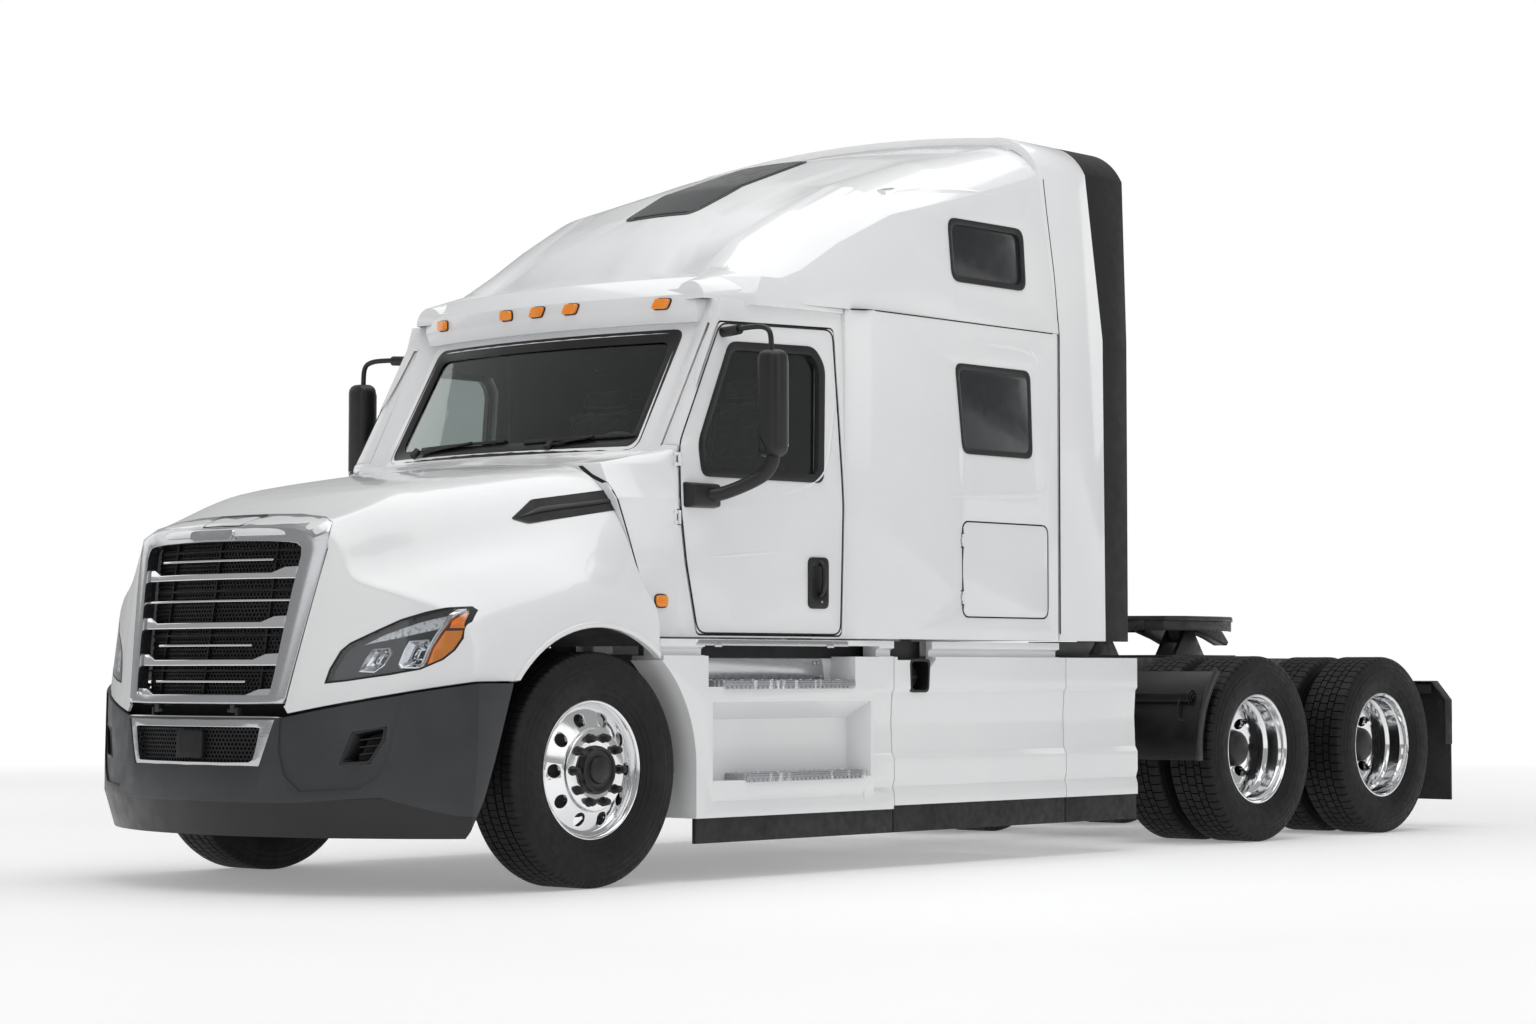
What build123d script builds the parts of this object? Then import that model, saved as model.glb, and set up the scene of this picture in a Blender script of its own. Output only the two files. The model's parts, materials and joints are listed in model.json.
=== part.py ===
"""Three-axle semi truck tractor unit with a raised-roof sleeper cab.

Millimetres. The truck faces -Y, its left side is +X and +Z is up.
The origin is on the floor, at the middle of the truck's length and width.
Along the truck, places are given as stations: the distance behind the
bumper's front face. station() turns one into a y coordinate.
"""
from build123d import *
from math import sqrt
import os

os.makedirs("parts", exist_ok=True)

# ------------------------------------------------------------------ driving dimensions
LENGTH = 8560              # bumper face to the rear of the mud flaps
HALF_WIDTH = 1220          # sleeper wall and roof sides
SEAM = 6                   # open gap round the hood
DOOR_GAP = 8               # open gap round a door
RUNNING = 0.05             # radial clearance of a shaft in its bore

# axles and wheels
STEER_AXLE = 1275
DRIVE_AXLES = (6475, 7795)
TYRE_RADIUS = 508
TYRE_WIDTH = 294
BEAD_RADIUS = 286
RIM_FLANGE_RADIUS = 298
RIM_HALF_WIDTH = 115
RIM_WALL = 14
STEER_WHEEL_X = 1045
DUAL_OUTER_X = 1075
DUAL_INNER_X = 732
DISC_THICKNESS = 26
NUT_CIRCLE_RADIUS = 142.9
HAND_HOLES = 10
HAND_HOLE_RADIUS = 30
HAND_HOLE_CIRCLE = 214
SPINDLE_RADIUS = 40
KINGPIN_X = 885
KINGPIN_RADIUS = 20

# ladder frame
RAIL_HALF = 432
RAIL_FLANGE = 89
RAIL_WALL = 10
RAIL_HEIGHT = 270
RAIL_TOP = 1010
RAIL_FRONT = 330
RAIL_REAR = 8480
CROSS_STATIONS = (380, 2700, 3600, 4500, 5500, 7135, 8400)
CROSS_LENGTH = 80
CROSS_HEIGHT = 180

# cab, sleeper and roof
CAB_FLOOR = 1085
WALL = 60
ROOF_SEAM = 2640
CAB_REAR = 2985
SLEEPER_REAR = 4605
FLARE_END = 3110
ROOF_WALL = 50

# hood hinge
HOOD_PIVOT = (50, 765)     # station and height
HINGE_PIN_RADIUS = 8
HINGE_X = 250

# fifth wheel
FIFTH_STATION = 7040
FIFTH_PIVOT = 1150
FIFTH_TOP = 1250
KINGPIN_SOCKET_RADIUS = 25.6


def station(distance):
    """The y coordinate of a distance behind the bumper's front face."""
    return distance - LENGTH / 2


def across(distance):
    """Plane across the truck at a station; its coordinates are x and z."""
    return Plane.XZ.offset(-station(distance))


def side_prism(points, x_from, x_to, radius=0):
    """Solid with an outline of (station, height) points, from one x to another."""
    with BuildPart() as prism:
        with BuildSketch(Plane.YZ.offset(x_from)) as outline:
            with BuildLine():
                Polyline(*[(station(s), z) for s, z in points], close=True)
            make_face()
            if radius:
                fillet(outline.vertices(), radius)
        extrude(amount=x_to - x_from)
    return prism.part


def front_prism(points, from_station, to_station, radius=0):
    """Solid with an outline of (x, height) points, from one station to another."""
    with BuildPart() as prism:
        with BuildSketch(across(from_station)) as outline:
            with BuildLine():
                Polyline(*points, close=True)
            make_face()
            if radius:
                fillet(outline.vertices(), radius)
        extrude(amount=-(to_station - from_station))
    return prism.part


def block(x_range, s_range, z_range):
    """Plain box between two x values, two stations and two heights."""
    size = (abs(x_range[1] - x_range[0]), s_range[1] - s_range[0], z_range[1] - z_range[0])
    centre = (sum(x_range) / 2, station(sum(s_range) / 2), sum(z_range) / 2)
    return Pos(*centre) * Box(*size, mode=Mode.PRIVATE)


def rod(start, end, radius):
    """Round bar between two (x, station, height) points."""
    first = Vector(start[0], station(start[1]), start[2])
    run = Vector(end[0], station(end[1]), end[2]) - first
    with BuildPart() as bar:
        with BuildSketch(Plane(origin=first, z_dir=run.normalized())):
            Circle(radius)
        extrude(amount=run.length)
    return bar.part


def finish(builder, name):
    """Labels a finished piece and writes it under its node name."""
    builder.part.label = name
    export_step(builder.part, f"parts/{name}.step")


def finish_pair(builder, name):
    """Writes the left-hand piece and its mirror image on the right."""
    finish(builder, f"{name}_left")
    with BuildPart() as opposite:
        add(mirror(builder.part, about=Plane.YZ))
    finish(opposite, f"{name}_right")


# ------------------------------------------------------------------ door hinges
HINGE_BARREL = 8
HINGE_PIN = 4
HINGE_RELIEF = 15
KNUCKLE_HEIGHT = 30


def upright(x, distance, z, radius, height):
    """Upright cylinder centred at a height."""
    return Pos(x, station(distance), z) * Cylinder(radius, height, mode=Mode.PRIVATE)


def hinge_parts(x, distance, levels, reach):
    """Door knuckles, body knuckles with their pins, and the room that both turn in."""
    tab = (x - 11, x - 2)
    offset = (KNUCKLE_HEIGHT + 16) / 2
    with BuildPart() as door_side:
        for z in levels:
            add(upright(x, distance, z, HINGE_BARREL, KNUCKLE_HEIGHT))
            add(block(tab, (distance, distance + reach), (z - 15, z + 15)))
            add(upright(x, distance, z, HINGE_PIN + RUNNING, 80), mode=Mode.SUBTRACT)
    with BuildPart() as body_side:
        for z in levels:
            add(upright(x, distance, z, HINGE_PIN, KNUCKLE_HEIGHT + 30))
            for knuckle_z in (z - offset, z + offset):
                add(upright(x, distance, knuckle_z, HINGE_BARREL, 15))
                add(block(tab, (distance - reach, distance), (knuckle_z - 7.5, knuckle_z + 7.5)))
    with BuildPart() as relief:
        for z in levels:
            add(upright(x, distance, z, HINGE_RELIEF, KNUCKLE_HEIGHT + 42))
    return door_side.part, body_side.part, relief.part


# ------------------------------------------------------------------ cab outline
# One row per height: z, then the plan outline as (x, station) points:
# front of the arc at the centre, windshield corner, pillar, door front, cab rear.
CAB_ROWS = (
    (CAB_FLOOR, 1590, (800, 1593), (1100, 1605), (1098, 1895), (1150, CAB_REAR)),
    (1400, 1590, (800, 1593), (1062, 1605), (1092, 1895), (1152, CAB_REAR)),
    (1700, 1590, (760, 1593), (960, 1605), (1088, 1880), (1152, CAB_REAR)),
    (1860, 1592, (700, 1602), (850, 1640), (1080, 1885), (1150, CAB_REAR)),
    (1925, 1770, (885, 1908), (985, 1888), (1076, 1893), (1148, CAB_REAR)),
    (2530, 2150, (868, 2258), (960, 2222), (1036, 2205), (1132, CAB_REAR)),
    (ROOF_SEAM, 2190, (864, 2280), (955, 2245), (1032, 2235), (1128, CAB_REAR)),
)
FIREWALL_SETBACK = 110     # firewall's inner face behind the cowl's front
COWL_TOP = 1860


def cab_solid(inset):
    """Cab outline as a solid; with an inset, the space inside walls that thick."""
    with BuildPart() as cab:
        for z, nose, corner, pillar, door, rear in CAB_ROWS:
            front = inset if z > COWL_TOP else inset * FIREWALL_SETBACK / WALL
            height = z + inset if z == CAB_FLOOR else z
            end = station(rear[1]) + inset
            left = [
                (corner[0] - inset / 2, station(corner[1]) + front),
                (pillar[0] - inset, station(pillar[1]) + front),
                (door[0] - inset, station(door[1]) + inset / 3),
                (rear[0] - inset, end),
            ]
            right = [(-x, y) for x, y in left]
            with BuildSketch(Plane.XY.offset(height)):
                with BuildLine():
                    ThreePointArc(right[0], (0, station(nose) + front), left[0])
                    Polyline(*left)
                    Line(left[-1], right[-1])
                    Polyline(*right)
                make_face()
        loft(ruled=True)
    return cab.part


DOOR_INNER_X = 968         # inside this the corner pillar belongs to the cab
DOOR_OUTLINE = ((2005, 1100), (1938, 1420), (1903, 1690), (1910, 1950), (2225, 2525),
                (2925, 2540), (2972, 1720), (2955, 1100))
DOOR_WINDOW = ((2050, 1815), (2035, 1960), (2275, 2435), (2800, 2445), (2862, 2360), (2832, 1815))
WINDSHIELD = ((-812, 1950), (-800, 2492), (800, 2492), (812, 1950))
# The hood's rear edge, from top to bottom, as (station, height).
HOOD_SEAM = ((1600, 1850), (1632, 1410), (1672, 1230), (1655, 1060))


def grown(points, amount):
    """Outline moved away from its middle by an amount in both directions."""
    middle_s = (min(p[0] for p in points) + max(p[0] for p in points)) / 2
    middle_z = (min(p[1] for p in points) + max(p[1] for p in points)) / 2
    return [(s + amount * (1 if s > middle_s else -1), z + amount * (1 if z > middle_z else -1))
            for s, z in points]


DOOR_HINGE = (1091, 1899)  # x and station of the left door's hinge axis
door_knuckles, door_hinge_pins, door_hinge_room = hinge_parts(*DOOR_HINGE, (1620, 1880), 30)
cab_outer = cab_solid(0)
cab_space = cab_solid(WALL)
glass_outer = cab_solid(20)
glass_inner = cab_solid(26)
cowl_trim = side_prism(
    [(1400, 2100)] + [(1600 + SEAM, 2100)] + [(s + SEAM, z) for s, z in HOOD_SEAM]
    + [(1655 + SEAM, 900), (1400, 900)], -1300, 1300)
windshield_cut = front_prism(WINDSHIELD, 1500, 2420, 45)

with BuildPart() as cab_shell:
    add(cab_outer)
    add(cab_space, mode=Mode.SUBTRACT)
    add(cowl_trim, mode=Mode.SUBTRACT)
    add(windshield_cut, mode=Mode.SUBTRACT)
    for side in (-1, 1):
        add(side_prism(grown(DOOR_OUTLINE, DOOR_GAP), side * DOOR_INNER_X, side * 1300, 30),
            mode=Mode.SUBTRACT)
    for hinge_room, pins in ((door_hinge_room, door_hinge_pins),
                             (mirror(door_hinge_room, about=Plane.YZ),
                              mirror(door_hinge_pins, about=Plane.YZ))):
        add(hinge_room, mode=Mode.SUBTRACT)
        add(pins)
    for side in (-1, 1):
        for foot in (2100, 2850):
            with Locations((side * (RAIL_HALF - 45), station(foot), (RAIL_TOP + CAB_FLOOR) / 2)):
                Box(80, 120, CAB_FLOOR - RAIL_TOP)
finish(cab_shell, "cab_shell")


# ------------------------------------------------------------------ doors and mirrors
MIRROR_HEAD = ((1306, 1438), (2155, 2267), (1892, 2376))
door_zone = side_prism(DOOR_OUTLINE, DOOR_INNER_X + DOOR_GAP, 1300, 25)
window_zone = side_prism(DOOR_WINDOW, 700, 1400, 40)
with BuildPart() as door:
    add(cab_outer)
    add(cab_space, mode=Mode.SUBTRACT)
    add(door_zone, mode=Mode.INTERSECT)
    add(window_zone, mode=Mode.SUBTRACT)
    add(door_hinge_room, mode=Mode.SUBTRACT)
    add(door_knuckles)

with BuildPart() as door_glass:
    add(glass_outer)
    add(glass_inner, mode=Mode.SUBTRACT)
    add(window_zone, mode=Mode.INTERSECT)

(head_in, head_out), (head_front, head_back), (head_low, head_high) = MIRROR_HEAD
head_x = (head_in + head_out) / 2
with BuildPart() as mirror_arm:
    with Locations((head_x, station((head_front + head_back) / 2), (head_low + head_high) / 2)):
        Box(head_out - head_in, head_back - head_front, head_high - head_low)
    fillet(mirror_arm.edges().filter_by(Axis.Z), 35)
    add(rod((1060, 2085, 1722), (1150, 2085, 1722), 42))
    add(rod((1145, 2085, 1722), (head_x, 2205, 1935), 32))
    add(rod((1020, 2250, 2478), (1120, 2215, 2478), 14))
    add(rod((1118, 2215, 2478), (head_x, 2211, 2360), 14))
    add(cab_outer, mode=Mode.SUBTRACT)

for piece, name in ((door, "door"), (door_glass, "door_glass"), (mirror_arm, "mirror")):
    finish_pair(piece, name)

# ------------------------------------------------------------------ sleeper
SLEEPER_PLAN = ((1150, CAB_REAR), (HALF_WIDTH, FLARE_END), (HALF_WIDTH, SLEEPER_REAR))
SLEEPER_WINDOW = ((3805, 2000), (3745, 2430), (4345, 2430), (4365, 2000))
HATCH = ((3800, 1200), (3800, 1660), (4495, 1660), (4495, 1200))
HATCH_GAP = 7


def prism_up(points, z_low, z_high):
    """Upright solid from (x, station) points of the left half, mirrored to the right."""
    outline = [(x, station(s)) for x, s in points]
    with BuildPart() as prism:
        with BuildSketch(Plane.XY.offset(z_low)):
            with BuildLine():
                Polyline(*outline, *[(-x, y) for x, y in reversed(outline)], close=True)
            make_face()
        extrude(amount=z_high - z_low)
    return prism.part


HATCH_HINGE = (HALF_WIDTH + 1, 3797)
hatch_knuckles, hatch_hinge_pins, hatch_hinge_room = hinge_parts(*HATCH_HINGE, (1290, 1570), 26)
sleeper_space = prism_up(
    [(1150 - WALL, CAB_REAR - 10), (1150 - WALL, CAB_REAR), (HALF_WIDTH - WALL, FLARE_END),
     (HALF_WIDTH - WALL, SLEEPER_REAR - WALL)], CAB_FLOOR + WALL, ROOF_SEAM + 10)
with BuildPart() as sleeper_shell:
    add(prism_up(SLEEPER_PLAN, CAB_FLOOR, ROOF_SEAM))
    rear_corners = sleeper_shell.edges().filter_by(Axis.Z).group_by(Axis.Y)[-1]
    fillet(rear_corners, 30)
    add(sleeper_space, mode=Mode.SUBTRACT)
    for side in (-1, 1):
        add(side_prism(SLEEPER_WINDOW, side * 1100, side * 1300, 50), mode=Mode.SUBTRACT)
        add(side_prism(grown(HATCH, HATCH_GAP), side * 1100, side * 1300, 45), mode=Mode.SUBTRACT)
        turned = mirror(hatch_hinge_room, about=Plane.YZ) if side < 0 else hatch_hinge_room
        add(turned, mode=Mode.SUBTRACT)
        add(mirror(hatch_hinge_pins, about=Plane.YZ) if side < 0 else hatch_hinge_pins)
        for foot in (3300, 4450):
            with Locations((side * (RAIL_HALF - 45), station(foot), (RAIL_TOP + CAB_FLOOR) / 2)):
                Box(80, 120, CAB_FLOOR - RAIL_TOP)
finish(sleeper_shell, "sleeper_shell")

with BuildPart() as hatch:
    add(side_prism(HATCH, HALF_WIDTH - WALL, HALF_WIDTH, 40))
    add(hatch_hinge_room, mode=Mode.SUBTRACT)
    add(hatch_knuckles)
finish_pair(hatch, "luggage_door")

# ------------------------------------------------------------------ raised roof
# Sections along the roof: station, wall x, wall top z, crown edge x, crown edge z, top z.
ROOF_SECTIONS = (
    (2200, 960, 2665, 800, 2690, 2715),
    (2448, 1060, 2700, 700, 2800, 2835),
    (2700, 1115, 2800, 690, 2985, 3025),
    (2935, 1150, 2950, 700, 3125, 3185),
    (3250, 1214, 3110, 760, 3285, 3345),
    (3793, 1219, 3250, 850, 3460, 3535),
    (SLEEPER_REAR, HALF_WIDTH, 3480, 950, 3650, 3705),
)
SHOULDER_BULGE = 45
ROOF_WINDOW = ((3725, 2840), (3690, 3140), (4290, 3140), (4315, 2840))
# Rear edge of the roof and sleeper, and of the fairing behind it, as (station, height).
FAIRING_FRONT = ((4605, CAB_FLOOR), (4605, ROOF_SEAM), (4420, 3480), (4385, 3760))


def roof_section(distance, wall_x, wall_z, crown_x, crown_z, top_z, inset, base):
    """Half-symmetric roof section at a station, as a closed sketch."""
    wall = (wall_x - inset, wall_z - inset / 2)
    crown = (crown_x - inset / 2, crown_z - inset)
    bulge = SHOULDER_BULGE * (1 if inset == 0 else 0.8)
    middle = ((wall[0] + crown[0]) / 2 + bulge * 0.45, (wall[1] + crown[1]) / 2 + bulge)
    with BuildSketch(across(distance)) as section:
        with BuildLine():
            Line((-wall[0], base), (wall[0], base))
            Line((wall[0], base), wall)
            ThreePointArc(wall, middle, crown)
            ThreePointArc(crown, (0, top_z - inset), (-crown[0], crown[1]))
            ThreePointArc((-crown[0], crown[1]), (-middle[0], middle[1]), (-wall[0], wall[1]))
            Line((-wall[0], wall[1]), (-wall[0], base))
        make_face()
    return section.sketch


def roof_solid(inset, base):
    """The raised roof as a solid; with an inset, the room under it."""
    with BuildPart() as roof:
        for row in ROOF_SECTIONS:
            shift = inset if row is ROOF_SECTIONS[0] else 0
            add(roof_section(row[0] + shift, *row[1:], inset, base))
        loft(ruled=True)
    return roof.part


roof_outer = roof_solid(0, ROOF_SEAM)
roof_space = roof_solid(ROOF_WALL, ROOF_SEAM - 20)
rear_cut = side_prism(FAIRING_FRONT + ((4800, 3760), (4800, CAB_FLOOR)), -1300, 1300)
rear_wall = side_prism([(s - ROOF_WALL, z) for s, z in FAIRING_FRONT]
                       + [(4800, 3760), (4800, CAB_FLOOR)], -1300, 1300)
with BuildPart() as roof_room:
    add(roof_space)
    add(rear_wall, mode=Mode.SUBTRACT)
with BuildPart() as roof_cap:
    add(roof_outer)
    add(rear_cut, mode=Mode.SUBTRACT)
    add(roof_room.part, mode=Mode.SUBTRACT)
    for side in (-1, 1):
        add(side_prism(ROOF_WINDOW, side * 1100, side * 1300, 60), mode=Mode.SUBTRACT)
finish(roof_cap, "roof_cap")

# Visor over the windshield, running back as an eyebrow over the doors.
# Rows: z, front at the centre, front corner (x, station), side (x, station), rear x.
VISOR_ROWS = (
    (2538, 2112, (890, 2228), (1040, 2420), 1100),
    (2600, 2090, (905, 2212), (1080, 2420), 1146),
    (2665, 2094, (905, 2216), (1085, 2425), 1148),
    (2755, 2170, (890, 2300), (1075, 2470), 1140),
)
with BuildPart() as roof_visor:
    for z, nose, corner, brow, rear_x in VISOR_ROWS:
        half = [corner, brow, (rear_x, CAB_REAR - 10)]
        left = [(x, station(s)) for x, s in half]
        right = [(-x, y) for x, y in left]
        with BuildSketch(Plane.XY.offset(z)):
            with BuildLine():
                ThreePointArc(right[0], (0, station(nose)), left[0])
                Polyline(*left)
                Line(left[-1], right[-1])
                Polyline(*right)
            make_face()
    loft(ruled=True)
    add(cab_outer, mode=Mode.SUBTRACT)
    add(cab_space, mode=Mode.SUBTRACT)
    add(roof_outer, mode=Mode.SUBTRACT)
    add(roof_space, mode=Mode.SUBTRACT)
    add(side_prism(((2330, 2500), (2400, 2618), (3000, 2618), (3000, 2500)), -1300, 1300),
        mode=Mode.SUBTRACT)
finish(roof_visor, "roof_visor")

# ------------------------------------------------------------------ glass
with BuildPart() as glazing:
    add(glass_outer)
    add(glass_inner, mode=Mode.SUBTRACT)
    add(windshield_cut, mode=Mode.INTERSECT)
    for side in (-1, 1):
        for outline, radius in ((SLEEPER_WINDOW, 50), (ROOF_WINDOW, 60)):
            add(side_prism(outline, side * 1180, side * 1186, radius))
finish(glazing, "glazing")

# ------------------------------------------------------------------ side extenders
FAIRING_WALL = 35
FAIRING_REAR = ((5000, CAB_FLOOR), (4985, ROOF_SEAM), (4835, 3480), (4820, 3760))
EDGE_REAR = ((5200, CAB_FLOOR), (5200, ROOF_SEAM), (5165, 3480), (5150, 3760))
rear_row = ROOF_SECTIONS[-1][1:]
with BuildPart() as fairing_ring:
    with BuildSketch(across(4300)):
        add(roof_section(4300, *rear_row, 0, CAB_FLOOR))
        add(roof_section(4300, *rear_row, FAIRING_WALL, CAB_FLOOR - 10), mode=Mode.SUBTRACT)
    extrude(amount=-1000)
for name, front, rear in (("side_extenders", FAIRING_FRONT, FAIRING_REAR),
                          ("extender_edges", FAIRING_REAR, EDGE_REAR)):
    with BuildPart() as fairing:
        add(fairing_ring.part)
        add(side_prism(front + tuple(reversed(rear)), -1300, 1300), mode=Mode.INTERSECT)
    finish(fairing, name)

# ------------------------------------------------------------------ hood
# Cross-sections along the hood: station, then the left half from the middle of the
# top to the bottom edge, as (x, z).
HOOD_SECTIONS = (
    (0, (0, 1475), (480, 1462), (620, 1400), (700, 1250), (1000, 1150), (1150, 1010),
     (1180, 900), (1180, 700)),
    (300, (0, 1605), (500, 1588), (640, 1500), (730, 1340), (900, 1240), (1080, 1130),
     (1165, 990), (1182, 700)),
    (700, (0, 1742), (560, 1718), (745, 1630), (860, 1440), (1010, 1330), (1140, 1180),
     (1190, 1020), (1195, 700)),
    (1275, (0, 1842), (640, 1812), (810, 1735), (950, 1540), (1060, 1420), (1170, 1290),
     (1204, 1150), (1206, 700)),
    (1720, (0, 1898), (710, 1862), (870, 1785), (980, 1640), (1045, 1480), (1095, 1300),
     (1190, 1130), (1204, 700)),
)
# Plan of the nose, leaning back with height: z, station at the centre.
NOSE_ROWS = ((680, 6), (787, 20), (1444, 118), (1545, 170), (1640, 400), (2000, 1250))
NOSE_RADIUS = 1630
HOOD_WALL = 30
ARCH_RADIUS = 612
GRILLE_OUTER = ((-515, 787), (515, 787), (622, 1444), (560, 1505), (-560, 1505), (-622, 1444))
GRILLE_INNER = ((-448, 806), (448, 806), (520, 1400), (470, 1452), (-470, 1452), (-520, 1400))
HEADLAMP = ((668, 852), (722, 1024), (900, 1110), (1149, 1185), (1146, 1120), (1022, 940),
            (850, 880))
BUMPER_TOP = ((508, 738), (1230, 884))
HOOD_GAP = 14
GRILLE_BARS = (866, 930, 994, 1058, 1122, 1186, 1250, 1314, 1378)
BAR_HEIGHT = 26


def section_solid(inset):
    """Hood as a loft of its cross-sections; with an inset, the space inside it."""
    with BuildPart() as body:
        for distance, *half in HOOD_SECTIONS:
            points = [(max(x - inset, 0), z - inset if z > 700 else z) for x, z in half]
            with BuildSketch(across(distance)):
                with BuildLine():
                    Polyline(*points, *[(-x, z) for x, z in reversed(points[1:])], close=True)
                make_face()
        loft(ruled=True)
    return body.part


def nose_solid(setback):
    """Everything behind the curved, leaning front of the truck."""
    half = 1300
    sweep = NOSE_RADIUS - sqrt(NOSE_RADIUS ** 2 - half ** 2)
    with BuildPart() as nose:
        for z, front in NOSE_ROWS:
            y = station(front + setback)
            with BuildSketch(Plane.XY.offset(z)):
                with BuildLine():
                    ThreePointArc((-half, y + sweep), (0, y), (half, y + sweep))
                    Polyline((half, y + sweep), (half, station(3200)), (-half, station(3200)),
                             (-half, y + sweep))
                make_face()
        loft(ruled=True)
    return nose.part


def layer(front, back, outline, radius=0):
    """Layer of the nose between two setbacks, inside an outline in (x, z)."""
    with BuildPart() as piece:
        add(nose_solid(front))
        add(nose_solid(back), mode=Mode.SUBTRACT)
        add(front_prism(outline, -100, 1200, radius), mode=Mode.INTERSECT)
    return piece.part


def mirrored(points):
    """The same outline on the other side of the truck."""
    return [(-x, z) for x, z in points]


arch_drum = Pos(0, station(STEER_AXLE), TYRE_RADIUS) * Rot(0, 90, 0) * Cylinder(ARCH_RADIUS, 2600)
hood_top = section_solid(0)
hood_space = section_solid(HOOD_WALL)
nose = nose_solid(0)
nose_back = nose_solid(HOOD_WALL)
hood_floor = front_prism(
    [(-1300, 600), (1300, 600), (1230, BUMPER_TOP[1][1] + HOOD_GAP),
     (530, BUMPER_TOP[0][1] + HOOD_GAP + 5), (508, 787), (-508, 787),
     (-530, BUMPER_TOP[0][1] + HOOD_GAP + 5), (-1230, BUMPER_TOP[1][1] + HOOD_GAP)], -100, 1300)
rear_trim = side_prism([(s, z) for s, z in HOOD_SEAM] + [(1640, 600), (1900, 600), (1900, 2100),
                                                         (1600, 2100)], -1300, 1300)
with BuildPart() as hood_space_in_nose:
    add(hood_space)
    add(nose_back, mode=Mode.INTERSECT)
with BuildPart() as hood:
    add(hood_top)
    add(nose, mode=Mode.INTERSECT)
    add(hood_space_in_nose.part, mode=Mode.SUBTRACT)
    add(hood_floor, mode=Mode.SUBTRACT)
    add(rear_trim, mode=Mode.SUBTRACT)
    add(arch_drum, mode=Mode.SUBTRACT)
    add(block((-1300, 1300), (STEER_AXLE + 300, 1900), (600, 1068)), mode=Mode.SUBTRACT)
    add(front_prism(GRILLE_OUTER, -100, 500), mode=Mode.SUBTRACT)
    add(front_prism(HEADLAMP, -100, 1200), mode=Mode.SUBTRACT)
    add(front_prism(mirrored(HEADLAMP), -100, 1200), mode=Mode.SUBTRACT)
finish(hood, "hood")

with BuildPart() as headlamps:
    add(layer(0, HOOD_WALL, HEADLAMP))
    add(layer(0, HOOD_WALL, mirrored(HEADLAMP)))
    add(hood_top, mode=Mode.INTERSECT)
finish(headlamps, "headlamps")

with BuildPart() as grille:
    add(layer(0, HOOD_WALL, GRILLE_OUTER))
    add(front_prism(GRILLE_INNER, -100, 600), mode=Mode.SUBTRACT)
    add(layer(70, 82, GRILLE_INNER))
    for z in GRILLE_BARS:
        reach = 480 + (z - 800) / 10
        add(layer(12, 82, ((-reach, z - BAR_HEIGHT / 2), (reach, z - BAR_HEIGHT / 2),
                           (reach, z + BAR_HEIGHT / 2), (-reach, z + BAR_HEIGHT / 2))))
    for side in (-1, 1):
        add(block((side * HINGE_X - 14, side * HINGE_X + 14), (42, 66), (757, 806)))
        add(rod((side * HINGE_X - 32, *HOOD_PIVOT), (side * HINGE_X + 32, *HOOD_PIVOT),
                HINGE_PIN_RADIUS))
    add(hood_top, mode=Mode.INTERSECT)
finish(grille, "grille")

# Liner over each front wheel, carried by the hood.
LINER_WALL = 10
with BuildPart() as arch_liners:
    for side in (-1, 1):
        with BuildSketch(Plane.YZ.offset(side * 560)):
            with Locations((station(STEER_AXLE), TYRE_RADIUS)):
                Circle(ARCH_RADIUS + LINER_WALL)
                Circle(ARCH_RADIUS, mode=Mode.SUBTRACT)
        extrude(amount=side * 620)
    add(block((-1300, 1300), (600, 2000), (-200, 905)), mode=Mode.SUBTRACT)
    add(rear_trim, mode=Mode.SUBTRACT)
    add(side_prism(((300, 0), (300, 1200), (770, 1200), (770, 0)), -1300, 1300), mode=Mode.SUBTRACT)
    add(block((-1300, 1300), (STEER_AXLE + 300, 1900), (600, 1068)), mode=Mode.SUBTRACT)
    add(section_solid(HOOD_WALL + 1), mode=Mode.INTERSECT)
finish(arch_liners, "arch_liners")

# ------------------------------------------------------------------ front bumper
BUMPER_SIDE_END = 755
BUMPER_WALL = 30
CROSS_TUBE_HALF = 700
CROSS_TUBE_HEIGHTS = (430, 510)
# Rows of the bumper's plan: z, station at the centre, side x.
BUMPER_ROWS = ((240, 58, 1165), (400, 0, 1205), (560, 0, 1214), (900, 8, 1214))
LOWER_GRILLE = ((-425, 500), (425, 500), (500, 712), (-500, 712))
FOG_RECESS = ((800, 560), (960, 575), (985, 690), (860, 672))
BUMPER_SIDE_TRIM = ((BUMPER_SIDE_END, 900), (535, 240), (535, 100), (1400, 100), (1400, 900))


def bumper_solid(inset):
    """Bumper's plan outlines lofted upward; with an inset, the space behind its skin."""
    with BuildPart() as body:
        for z, front, side_x in BUMPER_ROWS:
            half = side_x - inset
            bend = station(front + inset + NOSE_RADIUS - sqrt(NOSE_RADIUS ** 2 - half ** 2))
            end = station(BUMPER_SIDE_END + 10)
            with BuildSketch(Plane.XY.offset(z - (20 if inset and z == 240 else 0))):
                with BuildLine():
                    ThreePointArc((-half, bend), (0, station(front + inset)), (half, bend))
                    Polyline((half, bend), (half, end), (-half, end), (-half, bend))
                make_face()
        loft(ruled=True)
    return body.part


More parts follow.
